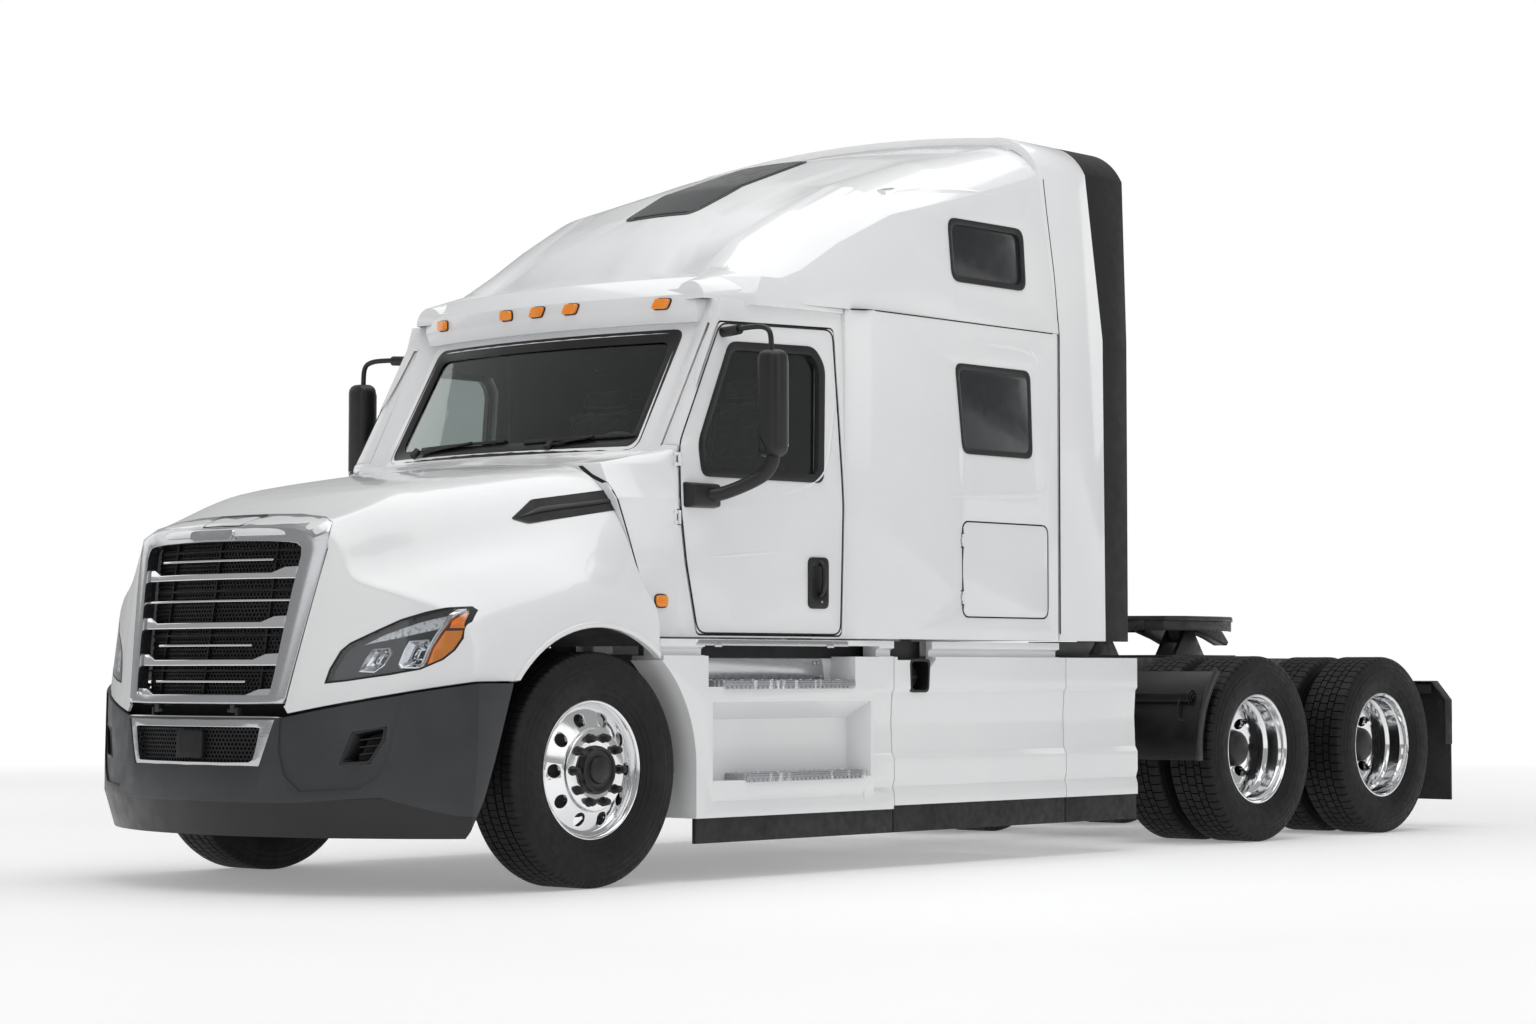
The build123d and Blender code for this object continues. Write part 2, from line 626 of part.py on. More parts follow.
bumper_lid = front_prism([(-1300, 1000), (-1230, 884), (-508, 738), (508, 738), (1230, 884),
                          (1300, 1000)], -100, 900)
with BuildPart() as front_bumper:
    add(bumper_solid(0))
    add(bumper_solid(BUMPER_WALL), mode=Mode.SUBTRACT)
    add(bumper_lid, mode=Mode.SUBTRACT)
    add(side_prism(BUMPER_SIDE_TRIM, -1300, 1300), mode=Mode.SUBTRACT)
    add(front_prism(LOWER_GRILLE, -100, 400), mode=Mode.SUBTRACT)
    add(front_prism(FOG_RECESS, -100, 600), mode=Mode.SUBTRACT)
    add(front_prism(mirrored(FOG_RECESS), -100, 600), mode=Mode.SUBTRACT)
    # lugs that carry the hood's hinge pins
    for side in (-1, 1):
        x = side * (HINGE_X + 26)
        add(block((x - 7, x + 7), (38, 75), (714, 779)))
        add(rod((x - 8, *HOOD_PIVOT), (x + 8, *HOOD_PIVOT), HINGE_PIN_RADIUS + RUNNING),
            mode=Mode.SUBTRACT)
    # cross tube and arms that hang the bumper from the frame rails
    add(block((-CROSS_TUBE_HALF, CROSS_TUBE_HALF), (285, RAIL_FRONT), CROSS_TUBE_HEIGHTS))
    for side in (-1, 1):
        add(block((side * 600, side * 670), (140, 300), CROSS_TUBE_HEIGHTS))
        add(block((side * 350, side * RAIL_HALF), (290, RAIL_FRONT), (500, 900)))
finish(front_bumper, "front_bumper")

with BuildPart() as lower_grille:
    add(bumper_solid(14))
    add(bumper_solid(24), mode=Mode.SUBTRACT)
    add(front_prism(LOWER_GRILLE, -100, 400), mode=Mode.INTERSECT)
finish(lower_grille, "lower_grille")

# ------------------------------------------------------------------ ladder frame
RAIL_MIDDLE = RAIL_TOP - RAIL_HEIGHT / 2
with BuildPart() as frame_rails:
    for side in (-1, 1):
        with BuildSketch(across(RAIL_FRONT)):
            with Locations((side * (RAIL_HALF - RAIL_FLANGE / 2), RAIL_MIDDLE)):
                Rectangle(RAIL_FLANGE, RAIL_HEIGHT)
            with Locations((side * (RAIL_HALF - RAIL_WALL - RAIL_FLANGE / 2), RAIL_MIDDLE)):
                Rectangle(RAIL_FLANGE, RAIL_HEIGHT - 2 * RAIL_WALL, mode=Mode.SUBTRACT)
        extrude(amount=RAIL_FRONT - RAIL_REAR)
finish(frame_rails, "frame_rails")

OUTRIGGERS = ((2100, 1020), (3240, 1020), (4700, 1178), (5240, 1178))
with BuildPart() as frame_crossmembers:
    for distance in CROSS_STATIONS:
        with Locations((0, station(distance), RAIL_MIDDLE)):
            Box(2 * (RAIL_HALF - RAIL_WALL), CROSS_LENGTH, CROSS_HEIGHT)
    for distance, reach in OUTRIGGERS:
        for side in (-1, 1):
            with Locations((side * (RAIL_HALF + reach) / 2, station(distance), 935)):
                Box(reach - RAIL_HALF, 60, 60)
finish(frame_crossmembers, "frame_crossmembers")

# ------------------------------------------------------------------ front axle and steering
SPRING_X = 387
EYE_RADIUS = 48
EYE_HEIGHT = 130
YOKE_GAP = 6
YOKE_THICKNESS = 50
STEER_ARM = 220
TIE_PIN_RADIUS = 12
BEAM = ((-KINGPIN_X, 470), (-800, 470), (-600, 410), (600, 410), (800, 470), (KINGPIN_X, 470),
        (KINGPIN_X, 550), (790, 550), (590, 500), (-590, 500), (-790, 550), (-KINGPIN_X, 550))
kingpin_y = station(STEER_AXLE)
with BuildPart() as front_axle:
    add(front_prism(BEAM, STEER_AXLE - 45, STEER_AXLE + 45))
    for side in (-1, 1):
        with Locations((side * KINGPIN_X, kingpin_y, TYRE_RADIUS)):
            Cylinder(EYE_RADIUS, EYE_HEIGHT)
        # leaf spring: a shallow arc from hanger to hanger, with its seat on the beam
        with BuildSketch(Plane.YZ.offset(side * SPRING_X - 40)):
            with BuildLine():
                ends = [(station(STEER_AXLE - 640), 700), (station(STEER_AXLE + 640), 700)]
                ThreePointArc(ends[0], (kingpin_y, 560), ends[1])
                Line(ends[1], (ends[1][0], ends[1][1] + 26))
                ThreePointArc((ends[1][0], 726), (kingpin_y, 618), (ends[0][0], 726))
                Line((ends[0][0], 726), ends[0])
            make_face()
        extrude(amount=80)
        with Locations((side * SPRING_X, kingpin_y, 530)):
            Box(100, 90, 64)
        for end in (-640, 640):
            with Locations((side * SPRING_X, kingpin_y + end, 715)):
                Box(70, 60, 50)
    for side in (-1, 1):
        with Locations((side * KINGPIN_X, kingpin_y, TYRE_RADIUS)):
            Cylinder(KINGPIN_RADIUS + RUNNING, 400, mode=Mode.SUBTRACT)
finish(front_axle, "front_axle")

yoke_low = TYRE_RADIUS - EYE_HEIGHT / 2 - YOKE_GAP
yoke_high = TYRE_RADIUS + EYE_HEIGHT / 2 + YOKE_GAP
with BuildPart() as knuckle:
    for bottom in (yoke_low - YOKE_THICKNESS, yoke_high):
        with BuildSketch(Plane.XY.offset(bottom)):
            with Locations((KINGPIN_X, kingpin_y)):
                Circle(42)
            with Locations((KINGPIN_X + 45, kingpin_y)):
                Rectangle(90, 84)
        extrude(amount=YOKE_THICKNESS)
    with Locations((KINGPIN_X + 75, kingpin_y, TYRE_RADIUS)):
        Box(30, 120, yoke_high - yoke_low + 2 * YOKE_THICKNESS)
    with Locations((KINGPIN_X, kingpin_y, TYRE_RADIUS)):
        Cylinder(KINGPIN_RADIUS, yoke_high - yoke_low + 2 * YOKE_THICKNESS)
    add(rod((KINGPIN_X + 80, STEER_AXLE, TYRE_RADIUS), (1150, STEER_AXLE, TYRE_RADIUS),
            SPINDLE_RADIUS))
    # steering arm, straight back, with the tie rod's pin standing up at its end
    with Locations((KINGPIN_X, kingpin_y + STEER_ARM / 2, yoke_low - YOKE_THICKNESS / 2)):
        Box(36, STEER_ARM, 30)
    with Locations((KINGPIN_X, kingpin_y + STEER_ARM, yoke_low - YOKE_THICKNESS / 2)):
        Cylinder(20, 30)
    with Locations((KINGPIN_X, kingpin_y + STEER_ARM, yoke_low + 5)):
        Cylinder(TIE_PIN_RADIUS, 60)
finish_pair(knuckle, "knuckle")

tie_z = yoke_low + 12
with BuildPart() as tie_rod:
    for side in (-1, 1):
        with Locations((side * KINGPIN_X, kingpin_y + STEER_ARM, tie_z)):
            Cylinder(24, 30)
    add(rod((-KINGPIN_X + 15, STEER_AXLE + STEER_ARM, tie_z),
            (KINGPIN_X - 15, STEER_AXLE + STEER_ARM, tie_z), 14))
    for side, play in ((-1, 0.4), (1, RUNNING)):
        with Locations((side * KINGPIN_X, kingpin_y + STEER_ARM, tie_z)):
            Cylinder(TIE_PIN_RADIUS + play, 60, mode=Mode.SUBTRACT)
finish(tie_rod, "tie_rod")

# ------------------------------------------------------------------ drive axles
AXLE_TUBE = 70
HUB_INNER_X = 660
SHAFTS = (((0, 2504, 700), (0, 6220, 560)), ((0, 6640, 590), (0, 7540, 560)))
with BuildPart() as drive_axles:
    for distance in DRIVE_AXLES:
        add(rod((-HUB_INNER_X + 6, distance, TYRE_RADIUS), (HUB_INNER_X - 6, distance, TYRE_RADIUS),
                AXLE_TUBE))
        add(rod((-140, distance, TYRE_RADIUS), (140, distance, TYRE_RADIUS), 195))
        add(rod((0, distance - 270, 555), (0, distance, 540), 110))
        add(rod((-1060, distance, TYRE_RADIUS), (1060, distance, TYRE_RADIUS), SPINDLE_RADIUS))
    for start, end in SHAFTS:
        add(rod(start, end, 55))
finish(drive_axles, "drive_axles")

# Each trailing arm runs from a hanger under the rail, over the axle, to an air spring.
with BuildPart() as rear_suspension:
    for distance in DRIVE_AXLES:
        arm = ((distance - 560, RAIL_TOP - RAIL_HEIGHT), (distance - 560, 640),
               (distance - 90, 575), (distance + 90, 575), (distance + 380, 575),
               (distance + 380, 605), (distance - 90, 640), (distance - 460, 700),
               (distance - 460, RAIL_TOP - RAIL_HEIGHT))
        for side in (-1, 1):
            add(side_prism(arm, side * (SPRING_X - 45), side * (SPRING_X + 45)))
            with Locations((side * SPRING_X, station(distance + 270), 672)):
                Cylinder(105, 136)
    for distance in DRIVE_AXLES:
        add(rod((-HUB_INNER_X, distance, TYRE_RADIUS), (HUB_INNER_X, distance, TYRE_RADIUS),
                AXLE_TUBE), mode=Mode.SUBTRACT)
finish(rear_suspension, "rear_suspension")

# ------------------------------------------------------------------ wheels
def disc_holes(centre_x, distance, thickness, builder_holes):
    """Cuts a ring of holes through a wheel disc: (count, circle radius, hole radius)."""
    count, circle, radius = builder_holes
    with BuildPart() as holes:
        with BuildSketch(Plane(origin=(centre_x, station(distance), TYRE_RADIUS), z_dir=(1, 0, 0))):
            with PolarLocations(circle, count):
                Circle(radius)
        extrude(amount=thickness / 2, both=True)
    return holes.part


def revolved(profile, distance):
    """Turns a closed (x, radius) profile about the wheel axis at a station."""
    with BuildPart() as turned:
        with BuildSketch(Plane(origin=(0, station(distance), TYRE_RADIUS),
                               x_dir=(1, 0, 0), z_dir=(0, -1, 0))):
            with BuildLine():
                Polyline(*profile, close=True)
            make_face()
        revolve(axis=Axis((0, station(distance), TYRE_RADIUS), (1, 0, 0)))
    return turned.part


def rim_profile(centre, direction):
    """Drop-centre rim; direction is +1 when its deep well lies inboard."""
    flange = RIM_HALF_WIDTH
    outer = [(-flange, RIM_FLANGE_RADIUS), (-flange + 14, RIM_FLANGE_RADIUS),
             (-flange + 18, BEAD_RADIUS), (-flange + 50, BEAD_RADIUS), (-flange + 70, 252),
             (-flange + 120, 252), (-flange + 140, BEAD_RADIUS),
             (flange - 18, BEAD_RADIUS), (flange - 14, RIM_FLANGE_RADIUS),
             (flange, RIM_FLANGE_RADIUS)]
    inner = [(x, radius - RIM_WALL) for x, radius in reversed(outer)]
    inner[0] = (flange, BEAD_RADIUS - RIM_WALL)
    inner[1] = (flange - 16, BEAD_RADIUS - RIM_WALL)
    inner[-1] = (-flange, BEAD_RADIUS - RIM_WALL)
    inner[-2] = (-flange + 16, BEAD_RADIUS - RIM_WALL)
    return [(centre + direction * x, radius) for x, radius in outer + inner]


def tyre_solid(centre, distance):
    """Tyre with rounded shoulders, bulged sidewalls and an open bead."""
    half = TYRE_WIDTH / 2
    bead = RIM_HALF_WIDTH - 22
    heel = RIM_HALF_WIDTH + 2
    with BuildPart() as tyre:
        with BuildSketch(Plane(origin=(centre, station(distance), TYRE_RADIUS),
                               x_dir=(1, 0, 0), z_dir=(0, -1, 0))):
            with BuildLine():
                Line((-half + 38, TYRE_RADIUS), (half - 38, TYRE_RADIUS))
                ThreePointArc((half - 38, TYRE_RADIUS), (half - 18, TYRE_RADIUS - 9),
                              (half - 10, TYRE_RADIUS - 32))
                ThreePointArc((half - 10, TYRE_RADIUS - 32), (half, 395), (heel, RIM_FLANGE_RADIUS + 3))
                Line((heel, RIM_FLANGE_RADIUS + 3), (bead, RIM_FLANGE_RADIUS + 2))
                Line((bead, RIM_FLANGE_RADIUS + 2), (bead, BEAD_RADIUS))
                Line((bead, BEAD_RADIUS), (bead - 24, BEAD_RADIUS))
                ThreePointArc((bead - 24, BEAD_RADIUS), (half - 26, 395),
                              (half - 50, TYRE_RADIUS - 38))
                Line((half - 50, TYRE_RADIUS - 38), (-half + 50, TYRE_RADIUS - 38))
                ThreePointArc((-half + 50, TYRE_RADIUS - 38), (-half + 26, 395),
                              (-bead + 24, BEAD_RADIUS))
                Line((-bead + 24, BEAD_RADIUS), (-bead, BEAD_RADIUS))
                Line((-bead, BEAD_RADIUS), (-bead, RIM_FLANGE_RADIUS + 2))
                Line((-bead, RIM_FLANGE_RADIUS + 2), (-heel, RIM_FLANGE_RADIUS + 3))
                ThreePointArc((-heel, RIM_FLANGE_RADIUS + 3), (-half, 395),
                              (-half + 10, TYRE_RADIUS - 32))
                ThreePointArc((-half + 10, TYRE_RADIUS - 32), (-half + 18, TYRE_RADIUS - 9),
                              (-half + 38, TYRE_RADIUS))
            make_face()
        revolve(axis=Axis((0, station(distance), TYRE_RADIUS), (1, 0, 0)))
    return tyre.part


STEER_DISC_X = 1180
with BuildPart() as front_wheel:
    add(revolved(rim_profile(STEER_WHEEL_X, 1), STEER_AXLE))
    add(revolved(((STEER_DISC_X, 88), (STEER_DISC_X, 180), (1148, 240), (1130, 272), (1095, 285),
                  (1095, 262), (1120, 232), (1154, 172), (1154, 88)), STEER_AXLE))
    # hub, nut ring and brake drum
    add(revolved(((1154, SPINDLE_RADIUS + RUNNING), (1154, 170), (1120, 170), (1100, 110),
                  (1080, 205), (985, 205), (985, 190), (1070, 190), (1070, 110),
                  (1000, 100), (1000, SPINDLE_RADIUS + RUNNING)), STEER_AXLE))
    add(revolved(((1154, 0), (1154, 100), (1192, 90), (1204, 70), (1204, 0)), STEER_AXLE))
    add(disc_holes(STEER_DISC_X - 30, STEER_AXLE, 160, (HAND_HOLES, HAND_HOLE_CIRCLE,
                                                        HAND_HOLE_RADIUS)), mode=Mode.SUBTRACT)
    add(disc_holes(STEER_DISC_X + 8, STEER_AXLE, 18, (10, NUT_CIRCLE_RADIUS, 17)))
finish_pair(front_wheel, "wheel_front")

with BuildPart() as front_tyre:
    add(tyre_solid(STEER_WHEEL_X, STEER_AXLE))
finish_pair(front_tyre, "tyre_front")

DUAL_SEAT = (DUAL_OUTER_X + DUAL_INNER_X) / 2
for number, distance in enumerate(DRIVE_AXLES, 1):
    with BuildPart() as dual:
        add(revolved(rim_profile(DUAL_OUTER_X, 1), distance))
        add(revolved(rim_profile(DUAL_INNER_X, -1), distance))
        add(revolved(((DUAL_SEAT, 88), (DUAL_SEAT + DISC_THICKNESS, 88),
                      (DUAL_SEAT + DISC_THICKNESS, 178), (DUAL_SEAT + 60, 236),
                      (DUAL_SEAT + 90, 262), (DUAL_SEAT + 90, 276), (DUAL_SEAT + 58, 276),
                      (DUAL_SEAT + 30, 240), (DUAL_SEAT, 186), (DUAL_SEAT - 30, 240),
                      (DUAL_SEAT - 58, 276), (DUAL_SEAT - 90, 276), (DUAL_SEAT - 90, 262),
                      (DUAL_SEAT - 60, 236), (DUAL_SEAT - DISC_THICKNESS, 178),
                      (DUAL_SEAT - DISC_THICKNESS, 88)), distance))
        # hub out to its cap, and the brake drum inboard
        add(revolved(((HUB_INNER_X, SPINDLE_RADIUS + RUNNING), (HUB_INNER_X, 100),
                      (DUAL_SEAT - 60, 100), (DUAL_SEAT - 60, 190), (HUB_INNER_X + 10, 190),
                      (HUB_INNER_X + 10, 205), (DUAL_SEAT - 30, 205), (DUAL_SEAT - 30, 100),
                      (1062, 90), (1062, SPINDLE_RADIUS + RUNNING)), distance))
        add(revolved(((1062, 0), (1062, 90), (1076, 78), (1076, 0)), distance))
        add(disc_holes(DUAL_SEAT, distance, 200, (HAND_HOLES, HAND_HOLE_CIRCLE,
                                                  HAND_HOLE_RADIUS)), mode=Mode.SUBTRACT)
        add(disc_holes(DUAL_SEAT + DISC_THICKNESS + 14, distance, 30,
                       (10, NUT_CIRCLE_RADIUS, 17)))
    finish_pair(dual, f"wheels_drive_{number}")
    with BuildPart() as dual_tyres:
        add(tyre_solid(DUAL_OUTER_X, distance))
        add(tyre_solid(DUAL_INNER_X, distance))
    finish_pair(dual_tyres, f"tyres_drive_{number}")

# ------------------------------------------------------------------ engine and radiator
with BuildPart() as engine:
    add(block((-310, 310), (600, 1560), (640, 1470)))
    add(block((-422, 422), (1000, 1100), (770, 860)))
    add(block((-200, 200), (1560, 2440), (620, 960)))
    add(rod((0, 2440, 700), (0, 2500, 700), 90))
finish(engine, "engine")

with BuildPart() as radiator:
    add(block((-400, 400), (440, 520), (RAIL_TOP, 1430)))
    add(block((-330, 330), (440, 520), (780, RAIL_TOP)))
finish(radiator, "radiator")

# ------------------------------------------------------------------ cab interior
INNER_FLOOR = CAB_FLOOR + WALL
DASH = ((1640, 1500), (1640, 1840), (1985, 1872), (2180, 1800), (2230, 1700), (2180, 1560),
        (2040, 1470), (1860, 1440))
WHEEL_CENTRE = (480, 2250, 1850)
with BuildPart() as dashboard:
    add(side_prism(DASH, -990, 990))
    add(cab_space, mode=Mode.INTERSECT)
    add(rod((480, 2120, 1690), WHEEL_CENTRE, 30))
    with Locations(Location((WHEEL_CENTRE[0], station(WHEEL_CENTRE[1]), WHEEL_CENTRE[2]),
                            (-57, 0, 0))):
        Torus(215, 16)
        Cylinder(70, 34)
        Box(420, 40, 14)
finish(dashboard, "dashboard")

SEAT_SIDE = ((2420, 1560), (2400, 1640), (2430, 1690), (2900, 1650), (3010, 2300), (3030, 2360),
             (3130, 2340), (3050, 1640), (3020, 1560))
with BuildPart() as seats:
    for x in (-480, 480):
        add(side_prism(SEAT_SIDE, x - 260, x + 260))
        add(block((x - 190, x + 190), (2520, 2940), (INNER_FLOOR, 1560)))
finish(seats, "seats")

BUNK_FRONT = 3700
with BuildPart() as bunk:
    inner_rear = SLEEPER_REAR - WALL
    reach = HALF_WIDTH - WALL - 12
    add(block((-reach, reach), (BUNK_FRONT, inner_rear), (1500, 1540)))
    add(block((-reach + 60, reach - 60), (BUNK_FRONT + 40, BUNK_FRONT + 80), (INNER_FLOOR, 1500)))
    with Locations((0, station((BUNK_FRONT + inner_rear) / 2), 1620)):
        Box(2 * reach - 40, inner_rear - BUNK_FRONT - 20, 160)
finish(bunk, "bunk")

# ------------------------------------------------------------------ side fairings
SKIRT_X = 1212
SKIRT_TOP = 1000
SKIRT_LOW = 296
STEP_REAR = 3270
PANEL_JOINT = 4660
SKIRT_REAR = 5290
VALANCE_X = 1190
STEP_ZONE = (1960, 3190)
UPPER_STEP = 862
LOWER_STEP = 442
FILLER = ((3300, 1075), (3300, 985), (3400, 985), (3400, 834), (3540, 834), (3540, 940),
          (3593, 985), (3593, 1075))
arch_clear = Pos(0, station(STEER_AXLE), TYRE_RADIUS) * Rot(0, 90, 0) * Cylinder(606, 2600)
SKIRT_PANELS = ((STEP_REAR + 8, PANEL_JOINT - 4), (PANEL_JOINT + 4, SKIRT_REAR))
with BuildPart() as side_skirts:
    for side in (-1, 1):
        # step fairing: a deep block with two pockets for the steps
        add(block((side * 1020, side * SKIRT_X), (1600, STEP_REAR), (280, SKIRT_TOP)))
        add(block((side * 1090, side * VALANCE_X), (1560, STEP_REAR), (SKIRT_TOP, 1075)))
        for front, rear in SKIRT_PANELS:
            add(block((side * 1178, side * SKIRT_X), (front, rear), (SKIRT_LOW, SKIRT_TOP)))
        add(block((side * 1150, side * VALANCE_X), (STEP_REAR, 4990), (SKIRT_TOP - 30, 1075)))
    add(arch_clear, mode=Mode.SUBTRACT)
    add(block((-1300, 1300), (1400, 1881), (0, TYRE_RADIUS)), mode=Mode.SUBTRACT)
    add(block((-1300, 1300), (1400, 1668), (SKIRT_TOP - 20, 1100)), mode=Mode.SUBTRACT)
    for side in (-1, 1):
        add(block((side * 1060, side * 1400), (STEP_ZONE[0], STEP_ZONE[1]), (UPPER_STEP, 1050)),
            mode=Mode.SUBTRACT)
        add(block((side * 1085, side * 1400), (STEP_ZONE[0], STEP_ZONE[1]), (LOWER_STEP, 790)),
            mode=Mode.SUBTRACT)
        add(side_prism(FILLER, side * 1100, side * 1400), mode=Mode.SUBTRACT)
finish(side_skirts, "side_skirts")

with BuildPart() as access_steps:
    for side in (-1, 1):
        for level, inner in ((UPPER_STEP, 1060), (LOWER_STEP, 1085)):
            add(block((side * inner, side * 1208), (STEP_ZONE[0] + 20, STEP_ZONE[1] - 20),
                      (level, level + 24)))
finish(access_steps, "access_steps")

STRIP_LOW = 168
with BuildPart() as skirt_strips:
    for side in (-1, 1):
        add(block((side * 1180, side * 1204), (1885, STEP_REAR), (STRIP_LOW, 280)))
        for front, rear in SKIRT_PANELS:
            add(block((side * 1180, side * 1204), (front, rear), (STRIP_LOW, SKIRT_LOW)))
finish(skirt_strips, "skirt_strips")

TANK_RADIUS = 290
TANK_X = 800
TANK_Z = 600
with BuildPart() as fuel_tanks:
    for side in (-1, 1):
        add(rod((side * TANK_X, 3320, TANK_Z), (side * TANK_X, 4640, TANK_Z), TANK_RADIUS))
        for saddle in (3560, 4400):
            add(block((side * RAIL_HALF, side * TANK_X), (saddle - 40, saddle + 40), (745, 860)))
finish(fuel_tanks, "fuel_tanks")

# ------------------------------------------------------------------ rear guards
GUARD_RADIUS = 575
GUARD_LOW = 455
GUARD_TOP = 932
with BuildPart() as quarter_fenders:
    for side in (-1, 1):
        with BuildSketch(Plane.YZ.offset(side * 592)):
            with Locations((station(DRIVE_AXLES[0]), TYRE_RADIUS)):
                Circle(GUARD_RADIUS + 14)
                Circle(GUARD_RADIUS, mode=Mode.SUBTRACT)
        extrude(amount=side * 620)
    add(block((-1300, 1300), (5700, 7300), (-200, GUARD_LOW)), mode=Mode.SUBTRACT)
    add(block((-1300, 1300), (5700, 7300), (GUARD_TOP, 1300)), mode=Mode.SUBTRACT)
    add(block((-1300, 1300), (DRIVE_AXLES[0], 7300), (-200, 1300)), mode=Mode.SUBTRACT)
    for side in (-1, 1):
        add(block((side * RAIL_HALF, side * 1110), (5920, 5966), (768, 814)))
finish(quarter_fenders, "quarter_fenders")

FLAP_FRONT = LENGTH - 16
with BuildPart() as mud_flaps:
    for side in (-1, 1):
        outline = ((side * 610, 170), (side * 1212, 170), (side * 1212, 760), (side * 1120, 870),
                   (side * 610, 870))
        add(front_prism(outline, FLAP_FRONT, LENGTH))
        add(block((side * 300, side * 1110), (LENGTH - 56, FLAP_FRONT), (800, 860)))
        add(block((side * 350, side * 422), (RAIL_REAR, LENGTH - 56), (790, 960)))
        add(block((side * 350, side * 422), (LENGTH - 57, LENGTH - 20), (790, 960)))
finish(mud_flaps, "mud_flaps")

# ------------------------------------------------------------------ fifth wheel
TRUNNION_X = 300
TRUNNION_PIN = 22
PLATE_THICKNESS = 28
PLATE_PLAN = ((0, -420), (210, -405), (400, -300), (470, -180), (470, 180), (440, 330),
              (300, 560), (215, 640), (130, 640), (60, 130), (0, 60))
with BuildPart() as fifth_wheel_base:
    add(block((-470, 470), (FIFTH_STATION - 330, FIFTH_STATION + 330), (RAIL_TOP, RAIL_TOP + 16)))
    for side in (-1, 1):
        for x in (TRUNNION_X - 58, TRUNNION_X + 58):
            pedestal = ((FIFTH_STATION - 150, RAIL_TOP + 16), (FIFTH_STATION - 34, FIFTH_PIVOT + 30),
                        (FIFTH_STATION + 34, FIFTH_PIVOT + 30), (FIFTH_STATION + 150, RAIL_TOP + 16))
            add(side_prism(pedestal, side * (x - 12), side * (x + 12)))
        add(rod((side * (TRUNNION_X - 70), FIFTH_STATION, FIFTH_PIVOT),
                (side * (TRUNNION_X + 70), FIFTH_STATION, FIFTH_PIVOT), TRUNNION_PIN))
finish(fifth_wheel_base, "fifth_wheel_base")

with BuildPart() as fifth_wheel_plate:
    outline = [(x, station(FIFTH_STATION + s)) for x, s in PLATE_PLAN]
    with BuildSketch(Plane.XY.offset(FIFTH_TOP - PLATE_THICKNESS)):
        with BuildLine():
            Polyline(*outline, *[(-x, y) for x, y in reversed(outline[1:-1])], close=True)
        make_face()
    extrude(amount=PLATE_THICKNESS)
    # ramps that guide a trailer up onto the plate
    ramp = side_prism(((FIFTH_STATION + 470, FIFTH_TOP), (FIFTH_STATION + 700, FIFTH_TOP + 1),
                       (FIFTH_STATION + 700, FIFTH_TOP - PLATE_THICKNESS + 12)), -600, 600)
    add(ramp, mode=Mode.SUBTRACT)
    for side in (-1, 1):
        with Locations((side * TRUNNION_X, station(FIFTH_STATION), FIFTH_TOP - 80)):
            Box(80, 110, 130)
        with Locations(Location((side * TRUNNION_X, station(FIFTH_STATION), FIFTH_PIVOT), (0, 90, 0))):
            Cylinder(52, 80)
    add(rod((-400, FIFTH_STATION, FIFTH_PIVOT), (400, FIFTH_STATION, FIFTH_PIVOT),
            TRUNNION_PIN + RUNNING), mode=Mode.SUBTRACT)
    with Locations((0, station(FIFTH_STATION), FIFTH_TOP)):
        Cylinder(KINGPIN_SOCKET_RADIUS, 200, mode=Mode.SUBTRACT)
finish(fifth_wheel_plate, "fifth_wheel_plate")
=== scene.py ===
"""Finish, trim and soft parts of a three-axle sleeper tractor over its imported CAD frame."""
import math
import bmesh
import bpy
from mathutils import Matrix, Vector
from mathutils.bvhtree import BVHTree
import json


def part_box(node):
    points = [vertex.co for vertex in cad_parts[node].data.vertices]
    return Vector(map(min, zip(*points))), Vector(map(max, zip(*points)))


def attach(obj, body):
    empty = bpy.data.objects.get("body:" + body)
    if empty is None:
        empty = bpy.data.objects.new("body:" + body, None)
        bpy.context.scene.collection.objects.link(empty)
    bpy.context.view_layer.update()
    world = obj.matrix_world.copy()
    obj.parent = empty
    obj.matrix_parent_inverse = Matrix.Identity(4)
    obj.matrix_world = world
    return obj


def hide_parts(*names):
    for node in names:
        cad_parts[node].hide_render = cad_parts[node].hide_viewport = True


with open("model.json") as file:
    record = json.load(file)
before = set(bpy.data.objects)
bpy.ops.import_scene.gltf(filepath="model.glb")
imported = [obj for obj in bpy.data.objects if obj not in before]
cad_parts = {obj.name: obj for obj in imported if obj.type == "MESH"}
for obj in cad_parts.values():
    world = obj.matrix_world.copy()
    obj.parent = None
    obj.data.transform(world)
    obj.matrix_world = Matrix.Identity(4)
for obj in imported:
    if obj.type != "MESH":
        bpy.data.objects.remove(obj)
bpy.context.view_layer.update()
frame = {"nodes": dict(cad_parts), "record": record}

LENGTH = 8.56
STEER_AXLE = 1.275
DRIVE_AXLES = (6.475, 7.795)
AXLE_HEIGHT = 0.508
NOSE_RADIUS = 1.63


def along(station):
    """Y of a distance behind the front bumper's face."""
    return station - LENGTH / 2


# ---------------------------------------------------------------- camera and studio
eye = bpy.data.objects.new("camera", bpy.data.cameras.new("camera"))
eye.data.lens = 76.7
eye.data.sensor_width = 36.0
eye.location = (10.992, -13.129, 0.928)
eye.rotation_euler = (math.pi / 2 + math.radians(2.80), 0.0, math.radians(41.10))
bpy.context.scene.collection.objects.link(eye)
bpy.context.scene.camera = eye


def studio_light(name, power, size, place, target, tint=(1.0, 1.0, 1.0)):
    """Large soft lamp that looks at a point."""
    lamp = bpy.data.objects.new(name, bpy.data.lights.new(name, "AREA"))
    lamp.data.shape = "RECTANGLE"
    lamp.data.size, lamp.data.size_y = size
    lamp.data.energy = power
    lamp.data.color = tint
    lamp.location = place
    lamp.rotation_euler = (Vector(target) - Vector(place)).to_track_quat("-Z", "Y").to_euler()
    bpy.context.scene.collection.objects.link(lamp)
    return lamp


